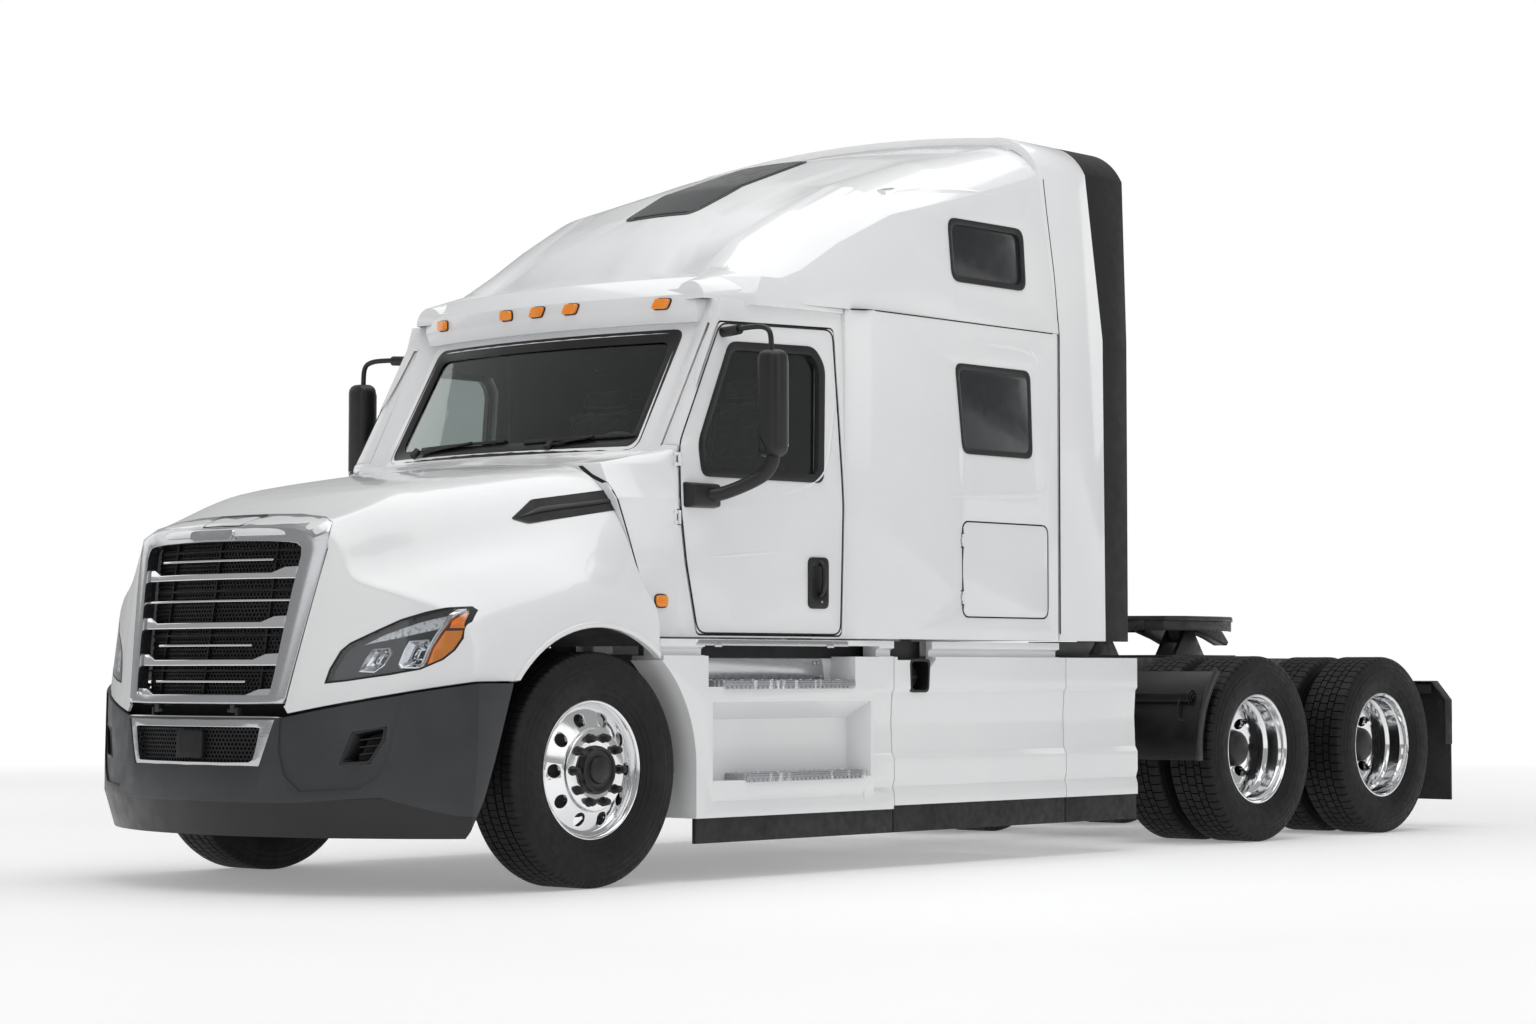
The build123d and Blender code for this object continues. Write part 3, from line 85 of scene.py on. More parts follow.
studio_light("ceiling_light", 560, (10, 12), (1, -1, 9), (0, 0, 0))
studio_light("side_light", 88, (7, 5), (11, -1, 5), (0, -0.5, 1.6))
studio_light("front_light", 55, (6, 4), (2, -13, 5), (0, -3, 1.2))
studio_light("far_light", 100, (8, 5), (-10, -2, 5), (0, 0, 1.6))
studio_light("rear_light", 90, (6, 5), (2, 13, 5), (0, 3, 1.5))
studio_world = bpy.data.worlds.new("studio")
bpy.context.scene.world = studio_world
studio_world.use_nodes = True
sky = studio_world.node_tree
sky.nodes["Background"].inputs["Color"].default_value = (1, 1, 1, 1)
sky.nodes["Background"].inputs["Strength"].default_value = 0.36
backdrop = sky.nodes.new("ShaderNodeBackground")
backdrop.inputs["Color"].default_value = (1, 1, 1, 1)
backdrop.inputs["Strength"].default_value = 1.0
seen = sky.nodes.new("ShaderNodeMixShader")
sky.links.new(sky.nodes.new("ShaderNodeLightPath").outputs["Is Camera Ray"], seen.inputs[0])
sky.links.new(sky.nodes["Background"].outputs[0], seen.inputs[1])
sky.links.new(backdrop.outputs[0], seen.inputs[2])
sky.links.new(seen.outputs[0], sky.nodes["World Output"].inputs["Surface"])
bpy.context.scene.view_settings.view_transform = "Standard"


# ---------------------------------------------------------------- finishes
def finish_recipe(name, colour, roughness, metal=0.0, **more):
    """New material with its shader's own sockets set; returns material, shader and coordinates."""
    stuff = bpy.data.materials.new(name)
    stuff.use_nodes = True
    shader = stuff.node_tree.nodes["Principled BSDF"]
    shader.inputs["Base Color"].default_value = (*colour, 1)
    shader.inputs["Roughness"].default_value = roughness
    shader.inputs["Metallic"].default_value = metal
    for socket, value in more.items():
        shader.inputs[socket.replace("_", " ")].default_value = value
    place = stuff.node_tree.nodes.new("ShaderNodeTexCoord")
    return stuff, shader, place.outputs["Object"]


def noise(stuff, place, scale, detail=4.0):
    """Noise at a number of cells per metre."""
    node = stuff.node_tree.nodes.new("ShaderNodeTexNoise")
    node.inputs["Scale"].default_value = scale
    node.inputs["Detail"].default_value = detail
    stuff.node_tree.links.new(place, node.inputs["Vector"])
    return node.outputs["Fac"]


def cells(stuff, place, scale, feature="F1"):
    """Voronoi cells at a number per metre."""
    node = stuff.node_tree.nodes.new("ShaderNodeTexVoronoi")
    node.feature = feature
    node.inputs["Scale"].default_value = scale
    stuff.node_tree.links.new(place, node.inputs["Vector"])
    return node.outputs["Distance"]


def spread(stuff, source, low, high, to_low, to_high):
    """Source value between low and high turned to the range between to_low and to_high."""
    node = stuff.node_tree.nodes.new("ShaderNodeMapRange")
    for socket, value in zip(("From Min", "From Max", "To Min", "To Max"),
                             (low, high, to_low, to_high)):
        node.inputs[socket].default_value = value
    stuff.node_tree.links.new(source, node.inputs["Value"])
    return node.outputs["Result"]


def tint(stuff, shader, source, low_colour, high_colour, low=0.35, high=0.65):
    """Colour that drifts between two tones with a pattern."""
    ramp = stuff.node_tree.nodes.new("ShaderNodeValToRGB")
    ramp.color_ramp.elements[0].position = low
    ramp.color_ramp.elements[1].position = high
    ramp.color_ramp.elements[0].color = (*low_colour, 1)
    ramp.color_ramp.elements[1].color = (*high_colour, 1)
    stuff.node_tree.links.new(source, ramp.inputs["Fac"])
    stuff.node_tree.links.new(ramp.outputs["Color"], shader.inputs["Base Color"])


def gloss(stuff, shader, source, low, high):
    """Roughness that drifts between two values with a pattern."""
    stuff.node_tree.links.new(spread(stuff, source, 0.3, 0.7, low, high),
                              shader.inputs["Roughness"])


def relief(stuff, shader, source, depth, strength=1.0):
    """Bump of a depth in metres from a pattern."""
    node = stuff.node_tree.nodes.new("ShaderNodeBump")
    node.inputs["Distance"].default_value = depth
    node.inputs["Strength"].default_value = strength
    stuff.node_tree.links.new(source, node.inputs["Height"])
    stuff.node_tree.links.new(node.outputs["Normal"], shader.inputs["Normal"])


def stretched(stuff, place, scale):
    """Coordinates stretched along the axes, for brushed or ribbed patterns."""
    node = stuff.node_tree.nodes.new("ShaderNodeMapping")
    node.inputs["Scale"].default_value = scale
    stuff.node_tree.links.new(place, node.inputs["Vector"])
    return node.outputs["Vector"]


def body_paint():
    """Gloss white with a clear coat, a faint orange peel and a little road dust in broad patches.
    """
    stuff, shader, place = finish_recipe("gloss_white_paint", (0.83, 0.84, 0.85), 0.26,
                                         Coat_Weight=0.7, Coat_Roughness=0.04)
    tint(stuff, shader, noise(stuff, place, 0.9), (0.80, 0.81, 0.825), (0.85, 0.855, 0.86))
    relief(stuff, shader, noise(stuff, place, 160, 2), 0.00012, 0.35)
    return stuff


def grained_plastic(name, dark, light, roughness=0.5, grain=900, depth=0.00025):
    """Moulded plastic with a leather-like grain and a slightly patchy sheen."""
    stuff, shader, place = finish_recipe(name, light, roughness)
    tint(stuff, shader, noise(stuff, place, 3.5), dark, light)
    gloss(stuff, shader, noise(stuff, place, 14), roughness - 0.06, roughness + 0.08)
    relief(stuff, shader, cells(stuff, place, grain), depth, 0.6)
    return stuff


def bright_metal(name, colour, smooth, rough, brush=None):
    """Plated or polished metal with faint polishing marks."""
    stuff, shader, place = finish_recipe(name, colour, smooth, 1.0)
    marks = stretched(stuff, place, brush) if brush else place
    pattern = noise(stuff, marks, 6 if brush else 9, 6)
    gloss(stuff, shader, pattern, smooth, rough)
    tint(stuff, shader, noise(stuff, place, 2.2),
         tuple(0.93 * part for part in colour), colour)
    relief(stuff, shader, pattern, 0.00006, 0.25)
    return stuff


def tyre_rubber():
    """Matt black rubber, paler with dust in broad patches, with a fine moulded grain."""
    stuff, shader, place = finish_recipe("tyre_rubber", (0.006, 0.006, 0.006), 0.6,
                                         Specular_IOR_Level=0.32)
    tint(stuff, shader, noise(stuff, place, 5), (0.004, 0.004, 0.0042), (0.009, 0.0088, 0.0085))
    gloss(stuff, shader, noise(stuff, place, 30), 0.50, 0.68)
    relief(stuff, shader, noise(stuff, place, 420, 3), 0.0005, 0.35)
    return stuff


def chassis_paint(name, tone, roughness=0.42):
    """Black chassis paint over rolled steel, with runs of dust."""
    stuff, shader, place = finish_recipe(name, tone, roughness)
    tint(stuff, shader, noise(stuff, place, 6), tone, tuple(1.9 * part + 0.004 for part in tone))
    gloss(stuff, shader, noise(stuff, place, 25), roughness - 0.1, roughness + 0.15)
    relief(stuff, shader, noise(stuff, place, 140, 3), 0.0004, 0.4)
    return stuff


def clear_glass(name, colour, roughness=0.01, **more):
    """Clear or tinted glass, very slightly wavy."""
    stuff, shader, place = finish_recipe(name, colour, roughness, Transmission_Weight=1.0,
                                         IOR=1.45, **more)
    tint(stuff, shader, noise(stuff, place, 1.6), tuple(0.95 * part for part in colour), colour)
    relief(stuff, shader, noise(stuff, place, 5, 1), 0.0002, 0.1)
    return stuff


def amber_lens():
    """Amber lens with fine moulded flutes."""
    stuff, shader, place = finish_recipe("amber_lens", (1.0, 0.30, 0.015), 0.16,
                                         Transmission_Weight=0.35, Emission_Strength=0.22,
                                         Emission_Color=(1.0, 0.28, 0.0, 1), Coat_Weight=0.8)
    tint(stuff, shader, noise(stuff, place, 20), (0.95, 0.24, 0.01), (1.0, 0.36, 0.02))
    relief(stuff, shader, cells(stuff, place, 260), 0.0008, 0.5)
    return stuff


def woven_cloth(name, dark, light, threads=900):
    """Seat cloth with a plain weave, read from the piece itself."""
    stuff, shader, place = finish_recipe(name, light, 0.85, Sheen_Weight=0.35)
    warp = stuff.node_tree.nodes.new("ShaderNodeTexWave")
    warp.inputs["Scale"].default_value = threads / 6
    warp.inputs["Distortion"].default_value = 1.5
    stuff.node_tree.links.new(place, warp.inputs["Vector"])
    tint(stuff, shader, noise(stuff, place, 26), dark, light)
    relief(stuff, shader, warp.outputs["Fac"], 0.0005, 0.5)
    return stuff


def diamond_tread():
    """Polished plate with raised bars crossing at right angles, tinted darker between the bars as
    painted shade.
    """
    stuff, shader, place = finish_recipe("diamond_tread_plate", (0.62, 0.63, 0.65), 0.3, 1.0)
    bars = cells(stuff, stretched(stuff, place, (55, 28, 1)), 1.0, "F1")
    raised = spread(stuff, bars, 0.25, 0.4, 1.0, 0.0)
    relief(stuff, shader, raised, 0.0025, 0.8)
    # The tint follows the bars' height, so the hollows between them are darker: painted shade in
    # the recesses.
    tint(stuff, shader, raised, (0.42, 0.43, 0.45), (0.78, 0.79, 0.81), 0.1, 0.9)
    gloss(stuff, shader, noise(stuff, place, 40), 0.22, 0.42)
    return stuff


PAINT = body_paint()
BUMPER_PLASTIC = grained_plastic("bumper_plastic", (0.027, 0.029, 0.033),
                                 (0.036, 0.039, 0.044), 0.42)
BLACK_PLASTIC = grained_plastic("black_plastic", (0.007, 0.007, 0.008), (0.012, 0.012, 0.013), 0.36)
MATT_PLASTIC = grained_plastic("matt_black_plastic", (0.003, 0.003, 0.004),
                               (0.006, 0.006, 0.007), 0.6)
CABIN_PLASTIC = grained_plastic("cabin_plastic", (0.10, 0.103, 0.11), (0.15, 0.155, 0.165), 0.62)
DASH_PLASTIC = grained_plastic("dash_plastic", (0.045, 0.047, 0.052), (0.07, 0.073, 0.08), 0.58)
CHROME = bright_metal("chrome", (0.83, 0.84, 0.86), 0.06, 0.13)
SATIN_TRIM = bright_metal("satin_trim", (0.60, 0.61, 0.63), 0.16, 0.26, (2, 2, 60))
POLISHED = bright_metal("polished_aluminium", (0.88, 0.885, 0.895), 0.07, 0.17)
TYRE = tyre_rubber()
FRAME_PAINT = chassis_paint("chassis_paint", (0.010, 0.010, 0.011))
GREASED = chassis_paint("greased_steel", (0.018, 0.018, 0.019), 0.34)
CAST_IRON = chassis_paint("cast_iron", (0.09, 0.09, 0.095), 0.6)
SEAM_RUBBER = chassis_paint("seam_rubber", (0.004, 0.004, 0.004), 0.7)
STRIP_RUBBER = chassis_paint("strip_rubber", (0.009, 0.009, 0.010), 0.62)
TINTED_GLASS = clear_glass("tinted_glass", (0.76, 0.84, 0.82))
DARK_PANE = grained_plastic("dark_pane", (0.016, 0.018, 0.020), (0.020, 0.022, 0.025), 0.16, 60,
                            0.00002)
LAMP_COVER = clear_glass("lamp_cover", (0.93, 0.95, 0.97))
AMBER = amber_lens()
SEAT_CLOTH = woven_cloth("seat_cloth", (0.020, 0.021, 0.023), (0.040, 0.042, 0.046))
BUNK_CLOTH = woven_cloth("bunk_cloth", (0.10, 0.105, 0.115), (0.15, 0.155, 0.165))
TREAD_PLATE = diamond_tread()
LAMP_BEZEL = grained_plastic("lamp_bezel", (0.045, 0.048, 0.054), (0.065, 0.069, 0.077), 0.3, 500)


def lamp_white():
    """Clear fluted light strip over a white reflector."""
    stuff, shader, place = finish_recipe("lamp_white", (0.86, 0.88, 0.90), 0.14, 0.35,
                                         Coat_Weight=0.9)
    tint(stuff, shader, noise(stuff, place, 70, 5), (0.30, 0.32, 0.34), (0.95, 0.96, 0.97),
         0.3, 0.5)
    relief(stuff, shader, cells(stuff, stretched(stuff, place, (1, 1, 3)), 90), 0.002, 0.6)
    return stuff


LAMP_WHITE = lamp_white()


# ---------------------------------------------------------------- modelling steps
def only(piece):
    """Selects one piece and nothing else."""
    bpy.ops.object.select_all(action="DESELECT")
    piece.select_set(True)
    bpy.context.view_layer.objects.active = piece


def started(kind, **sizes):
    """New primitive at its size and place, with everything else deselected."""
    bpy.ops.object.select_all(action="DESELECT")
    getattr(bpy.ops.mesh, f"primitive_{kind}_add")(**sizes)
    bpy.ops.object.transform_apply(location=True, rotation=True, scale=True)
    return bpy.context.object


def faces_where(piece, test):
    """Goes into face mode with the faces selected whose (centre, normal) passes the test."""
    only(piece)
    bpy.ops.object.mode_set(mode="EDIT")
    bpy.ops.mesh.select_mode(type="FACE")
    mesh = bmesh.from_edit_mesh(piece.data)
    for face in mesh.faces:
        face.select_set(test(face.calc_center_median(), face.normal))
    bmesh.update_edit_mesh(piece.data)


def edges_where(piece, test):
    """Goes into edge mode with the edges selected whose (start, end) passes the test."""
    only(piece)
    bpy.ops.object.mode_set(mode="EDIT")
    bpy.ops.mesh.select_mode(type="EDGE")
    mesh = bmesh.from_edit_mesh(piece.data)
    for edge in mesh.edges:
        edge.select_set(test(edge.verts[0].co, edge.verts[1].co))
    bmesh.update_edit_mesh(piece.data)


def leave():
    """Back to object mode."""
    bpy.ops.object.mode_set(mode="OBJECT")


def modified(piece, kind, **settings):
    """Adds one modifier, sets it and applies it."""
    only(piece)
    step = piece.modifiers.new(kind.lower(), kind)
    for name, value in settings.items():
        setattr(step, name, value)
    bpy.ops.object.modifier_apply(modifier=step.name)
    return piece


def softened(piece, width, angle=35, segments=2):
    """Rounds the sharp edges and shades the rest smooth."""
    modified(piece, "BEVEL", width=width, segments=segments, limit_method="ANGLE",
             angle_limit=math.radians(angle), use_clamp_overlap=True, harden_normals=False)
    only(piece)
    bpy.ops.object.shade_smooth_by_angle(angle=math.radians(angle))
    return piece


def tidy_mesh(piece, near=0.0001):
    """Merges doubles and turns every face outwards."""
    only(piece)
    bpy.ops.object.mode_set(mode="EDIT")
    bpy.ops.mesh.select_all(action="SELECT")
    bpy.ops.mesh.remove_doubles(threshold=near)
    bpy.ops.mesh.normals_make_consistent(inside=False)
    leave()
    return piece


def plate(outline, depth):
    """Flat plate from an outline of points, as deep as the vector depth."""
    piece = started("circle", vertices=len(outline), fill_type="NGON")
    for corner, point in zip(piece.data.vertices, outline):
        corner.co = point
    only(piece)
    bpy.ops.object.mode_set(mode="EDIT")
    bpy.ops.mesh.select_all(action="SELECT")
    bpy.ops.mesh.extrude_region_move(TRANSFORM_OT_translate={"value": depth})
    bpy.ops.mesh.select_all(action="SELECT")
    bpy.ops.mesh.normals_make_consistent(inside=False)
    leave()
    return piece


def front_plate(outline, station, depth):
    """Plate from (x, z) points, facing forwards at a station and going back by a depth."""
    return plate([(x, along(station), z) for x, z in outline], (0, depth, 0))


def side_plate(outline, x, depth):
    """Plate from (station, z) points, standing at x and going outwards by a depth."""
    return plate([(x, along(s), z) for s, z in outline], (depth, 0, 0))


def box(across, stations, heights):
    """Block between two x, two stations and two heights."""
    (a, b), (c, d), (e, f) = across, stations, heights
    return started("cube", size=1, location=((a + b) / 2, along((c + d) / 2), (e + f) / 2),
                   scale=(abs(b - a), abs(d - c), abs(f - e)))


def filled(piece):
    """Closes the open ends of a skin and turns its faces outwards."""
    only(piece)
    bpy.ops.object.mode_set(mode="EDIT")
    bpy.ops.mesh.select_all(action="SELECT")
    bpy.ops.mesh.fill_holes(sides=0)
    bpy.ops.mesh.select_all(action="SELECT")
    bpy.ops.mesh.normals_make_consistent(inside=False)
    leave()
    return piece


def rounded(outline, radius, steps=4):
    """The same flat outline of pairs with its corners rounded."""
    points = []
    for index, corner in enumerate(outline):
        here = Vector(corner)
        before = Vector(outline[index - 1]) - here
        after = Vector(outline[(index + 1) % len(outline)]) - here
        reach = min(radius, before.length * 0.45, after.length * 0.45)
        start, end = here + before.normalized() * reach, here + after.normalized() * reach
        for step in range(steps + 1):
            t = step / steps
            points.append(tuple((1 - t) ** 2 * start + 2 * t * (1 - t) * here + t ** 2 * end))
    return points


def grown(outline, amount):
    """The same flat outline of pairs, moved out along its corners by an amount."""
    centre = sum((Vector(point) for point in outline), Vector((0, 0))) / len(outline)
    moved = []
    for index, corner in enumerate(outline):
        here = Vector(corner)
        before = (here - Vector(outline[index - 1])).normalized()
        after = (Vector(outline[(index + 1) % len(outline)]) - here).normalized()
        out = Vector((before.y + after.y, -before.x - after.x))
        if out.length < 1e-6:
            out = here - centre
        out.normalize()
        if out.dot(here - centre) < 0:
            out = -out
        scale = 1 / max(0.5, abs(out.dot(Vector((before.y, -before.x)))))
        moved.append(tuple(here + out * amount * scale))
    return moved


def tube(points, radius, sides=12, closed=False):
    """Round bar along a polyline, as a mesh."""
    data = bpy.data.curves.new("bar", "CURVE")
    data.dimensions = "3D"
    data.bevel_depth = radius
    data.bevel_resolution = max(1, sides // 4 - 1)
    data.use_fill_caps = True
    run = data.splines.new("POLY")
    run.points.add(len(points) - 1)
    for spot, point in zip(run.points, points):
        spot.co = (*point, 1)
    run.use_cyclic_u = closed
    bar = bpy.data.objects.new("bar", data)
    bpy.context.scene.collection.objects.link(bar)
    only(bar)
    bpy.ops.object.convert(target="MESH")
    bpy.ops.object.shade_smooth_by_angle(angle=math.radians(40))
    return bpy.context.object


def joined(pieces):
    """Several pieces made one."""
    bpy.ops.object.select_all(action="DESELECT")
    for piece in pieces:
        piece.select_set(True)
    bpy.context.view_layer.objects.active = pieces[0]
    bpy.ops.object.join()
    return bpy.context.object


def copied(piece, move=(0, 0, 0), turn=None):
    """Copy with its own mesh, moved and turned in its mesh."""
    twin = piece.copy()
    twin.data = piece.data.copy()
    bpy.context.scene.collection.objects.link(twin)
    if turn:
        twin.data.transform(turn)
    twin.data.transform(Matrix.Translation(move))
    return twin


def mirrored(piece):
    """Copy on the truck's other side, with its faces turned outwards again."""
    twin = piece.copy()
    twin.data = piece.data.copy()
    bpy.context.scene.collection.objects.link(twin)
    twin.data.transform(Matrix.Scale(-1, 4, (1, 0, 0)))
    twin.data.flip_normals()
    return twin


def fitted(piece, name, finish, body):
    """Names a finished piece, gives it its finish and lets it ride on its body."""
    only(piece)
    bpy.ops.object.transform_apply(location=True, rotation=True, scale=True)
    piece.name = name
    piece.data.name = name
    if finish:
        piece.data.materials.clear()
        piece.data.materials.append(finish)
    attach(piece, body)
    return piece


def pair(piece, name, finish, bodies):
    """Fits a left piece and its mirror image on the right."""
    twin = mirrored(piece)
    fitted(piece, f"{name}_left", finish, bodies[0])
    fitted(twin, f"{name}_right", finish, bodies[1])
    return piece, twin


CHASSIS = ("chassis", "chassis")
HOOD = ("hood", "hood")
DOORS = ("door_left", "door_right")
FRONT_WHEELS = ("front_wheel_left", "front_wheel_right")


def shaped_copy(node, near=0.00002):
    """Copy of a CAD node as a clean mesh whose flat faces are whole again."""
    source = frame["nodes"][node]
    piece = source.copy()
    piece.data = source.data.copy()
    for key in list(piece.keys()):
        del piece[key]
    bpy.context.scene.collection.objects.link(piece)
    piece.parent = None
    piece.matrix_world = Matrix.Identity(4)
    only(piece)
    bpy.ops.object.mode_set(mode="EDIT")
    bpy.ops.mesh.select_all(action="SELECT")
    bpy.ops.mesh.remove_doubles(threshold=near)
    bpy.ops.mesh.dissolve_limited(angle_limit=math.radians(0.4))
    leave()
    return piece


# ---------------------------------------------------------------- finishes of the CAD pieces
NODE_FINISH = {
    "cab_shell": PAINT, "sleeper_shell": PAINT, "roof_cap": PAINT, "roof_visor": PAINT,
    "side_extenders": PAINT, "side_skirts": PAINT, "hood": PAINT,
    "door_left": PAINT, "door_right": PAINT,
    "luggage_door_left": PAINT, "luggage_door_right": PAINT,
    "extender_edges": MATT_PLASTIC, "arch_liners": MATT_PLASTIC, "quarter_fenders": BLACK_PLASTIC,
    "front_bumper": BUMPER_PLASTIC, "lower_grille": BLACK_PLASTIC, "grille": CHROME,
    "headlamps": BLACK_PLASTIC, "mirror_left": BLACK_PLASTIC, "mirror_right": BLACK_PLASTIC,
    "glazing": TINTED_GLASS, "door_glass_left": TINTED_GLASS, "door_glass_right": TINTED_GLASS,
    "frame_rails": FRAME_PAINT, "frame_crossmembers": FRAME_PAINT, "front_axle": FRAME_PAINT,
    "drive_axles": FRAME_PAINT, "rear_suspension": FRAME_PAINT, "knuckle_left": FRAME_PAINT,
    "knuckle_right": FRAME_PAINT, "tie_rod": FRAME_PAINT, "engine": CAST_IRON,
    "radiator": CAST_IRON, "dashboard": DASH_PLASTIC, "seats": SEAT_CLOTH, "bunk": BUNK_CLOTH,
    "skirt_strips": STRIP_RUBBER, "access_steps": TREAD_PLATE, "fuel_tanks": POLISHED,
    "mud_flaps": STRIP_RUBBER, "fifth_wheel_base": GREASED, "fifth_wheel_plate": GREASED,
}
for node, piece in frame["nodes"].items():
    if node.startswith("wheel"):
        NODE_FINISH[node] = POLISHED
    if node.startswith("tyre"):
        NODE_FINISH[node] = TYRE
    piece.data.materials.clear()
    piece.data.materials.append(NODE_FINISH[node])

body_name = {node: body for body, nodes in frame["record"]["behaviour"]["bodies"].items()
             for node in nodes}


CABIN_MIDDLE = Vector((0.0, along(3.2), 1.95))
LINED = ("cab_shell", "sleeper_shell", "roof_cap", "door_left", "door_right")


def dressed(node, name, edge=0.002, angle=30):
    """Copy of a rigid CAD piece with rounded edges, which stands for it."""
    piece = shaped_copy(node)
    softened(piece, edge, angle)
    fitted(piece, name, NODE_FINISH[node], body_name[node])
    if node in LINED:
        piece.data.materials.append(CABIN_PLASTIC)
        for face in piece.data.polygons:
            if face.normal.dot(face.center - CABIN_MIDDLE) < 0:
                face.material_index = 1
    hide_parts(node)
    return piece


# ---------------------------------------------------------------- hood skin
# Cross-sections along the hood: station, then the left half from the top's middle down, (x, z).
HOOD_SECTIONS = (
    (0.0, (0, 1.475), (0.24, 1.473), (0.480, 1.462), (0.620, 1.400), (0.700, 1.250),
     (1.000, 1.150), (1.150, 1.010), (1.180, 0.900), (1.180, 0.700)),
    (0.3, (0, 1.605), (0.25, 1.603), (0.500, 1.588), (0.640, 1.500), (0.730, 1.340),
     (0.900, 1.240), (1.080, 1.130), (1.165, 0.990), (1.182, 0.700)),
    (0.7, (0, 1.742), (0.28, 1.738), (0.560, 1.718), (0.745, 1.630), (0.860, 1.440),
     (1.010, 1.330), (1.140, 1.180), (1.190, 1.020), (1.195, 0.700)),
    (1.275, (0, 1.842), (0.32, 1.836), (0.640, 1.812), (0.810, 1.735), (0.950, 1.540),
     (1.060, 1.420), (1.170, 1.290), (1.204, 1.150), (1.206, 0.700)),
    (1.72, (0, 1.898), (0.36, 1.89), (0.710, 1.862), (0.870, 1.785), (0.980, 1.640),
     (1.045, 1.480), (1.095, 1.300), (1.190, 1.130), (1.204, 0.700)),
)
NOSE_ROWS = ((0.66, 0.006), (0.787, 0.020), (1.444, 0.118), (1.545, 0.170), (1.640, 0.400),
             (2.000, 1.250))
GRILLE_OUTER = ((-0.515, 0.787), (0.515, 0.787), (0.622, 1.444), (0.560, 1.505),
                (-0.560, 1.505), (-0.622, 1.444))
HEADLAMP = ((0.673, 0.879), (0.688, 0.942), (0.724, 1.017), (0.759, 1.050), (0.854, 1.102),
            (0.935, 1.147), (1.013, 1.177), (1.074, 1.197), (1.103, 1.202), (1.120, 1.186),
            (1.140, 1.137), (1.142, 1.067), (1.121, 1.017), (1.088, 0.977), (1.018, 0.937),
            (0.914, 0.914), (0.762, 0.889))


def eased(values, t):
    """Catmull-Rom value between the middle two of four."""
    a, b, c, d = values
    return 0.5 * (2 * b + (c - a) * t + (2 * a - 5 * b + 4 * c - d) * t * t
                  + (3 * b - a - 3 * c + d) * t ** 3)


def through(points, steps):
    """Smooth line through points, with steps spans between each two."""
    spots = [2 * points[0] - points[1], *points, 2 * points[-1] - points[-2]]
    line = []
    for index in range(len(points) - 1):
        four = spots[index:index + 4]
        line += [eased(four, step / steps) for step in range(steps)]
    return [*line, points[-1]]


def capped_skin(rows):
    """Solid between rows of points: each row is one cross-section, left bottom to right bottom."""
    count = len(rows[0])
    piece = started("grid", x_subdivisions=count - 1, y_subdivisions=len(rows) - 1)
    for index, corner in enumerate(piece.data.vertices):
        corner.co = rows[index // count][index % count]
    first = [tuple(point) for point in rows[0]]
    last = [tuple(point) for point in rows[-1]]
    for ring in (first, last):
        keys = {tuple(round(part, 5) for part in point) for point in ring}
        edges_where(piece, lambda a, b: tuple(round(part, 5) for part in a) in keys
                    and tuple(round(part, 5) for part in b) in keys)
        bpy.ops.mesh.edge_face_add()
        leave()
    only(piece)
    bpy.ops.object.mode_set(mode="EDIT")
    bpy.ops.mesh.select_mode(type="EDGE")
    bpy.ops.mesh.select_all(action="DESELECT")
    bpy.ops.mesh.select_non_manifold()
    bpy.ops.mesh.edge_face_add()
    leave()
    return tidy_mesh(piece)


def cut(piece, *cutters, keep=False):
    """Takes the cutters out of a piece, or with keep leaves only what lies inside them."""
    for cutter in cutters:
        modified(piece, "BOOLEAN", operation="INTERSECT" if keep else "DIFFERENCE",
                 object=cutter, solver="EXACT")
        bpy.data.objects.remove(cutter)
    return piece


def flowed(piece, voxel, rounds):
    """Even mesh over a closed piece, with its edges flowed round as in moulded panels."""
    modified(piece, "REMESH", mode="VOXEL", voxel_size=voxel, use_smooth_shade=True)
    modified(piece, "SMOOTH", factor=0.5, iterations=rounds)
    return piece


def section_row(half, station):
    """Whole cross-section from its left half, left bottom to right bottom."""
    line = through([Vector((x, z)) for x, z in half], 4)
    left = [Vector((point.x, along(station), point.y)) for point in line]
    right = [Vector((-point.x, along(station), point.y)) for point in line[1:]]
    return left[::-1] + right


def hood_block():
    """Solid of the hood's sections, smooth along its length."""
    sections = [[Vector((s, *point)) for point in half] for s, *half in HOOD_SECTIONS]
    lines = [through([row[index] for row in sections], 4) for index in range(len(sections[0]))]
    rows = []
    for station in range(len(lines[0])):
        s = lines[0][station].x
        rows.append(section_row([(line[station].y, line[station].z) for line in lines], s))
    return capped_skin(rows)


def nose_block(setback=0.0):
    """Everything behind the curved, leaning front."""
    rows = []
    for row in through([Vector((z, front)) for z, front in NOSE_ROWS], 5):
        ring = []
        for step in range(25):
            x = 1.3 - 2.6 * step / 24
            sweep = NOSE_RADIUS - math.sqrt(NOSE_RADIUS ** 2 - x * x)
            ring.append(Vector((x, along(row.y + setback + sweep), row.x)))
        rows.append([Vector((1.3, along(3.2), row.x)), *ring, Vector((-1.3, along(3.2), row.x))])
    return capped_skin(rows)


def arch_drum(radius, inner, outer, sides=96):
    """Drum about the front wheel on the left, from one x to another."""
    return started("cylinder", vertices=sides, radius=radius, depth=outer - inner,
                   location=((inner + outer) / 2, along(STEER_AXLE), AXLE_HEIGHT),
                   rotation=(0, math.pi / 2, 0))


def mirrored_outline(outline):
    """The same (x, z) outline on the other side."""
    return [(-x, z) for x, z in outline]


HOOD_FLOOR = ((-1.3, 0.5), (1.3, 0.5), (1.23, 0.898), (0.53, 0.757), (0.508, 0.787),
              (-0.508, 0.787), (-0.53, 0.757), (-1.23, 0.898))
HOOD_SEAM = ((1.596, 1.92), (1.6, 1.85), (1.632, 1.41), (1.672, 1.23), (1.655, 1.06),
             (1.655, 0.5), (2.2, 0.5), (2.2, 2.1))


def hood_form():
    """Closed smooth form of the hood, before its openings are cut."""
    return flowed(cut(hood_block(), nose_block(), keep=True), 0.013, 14)


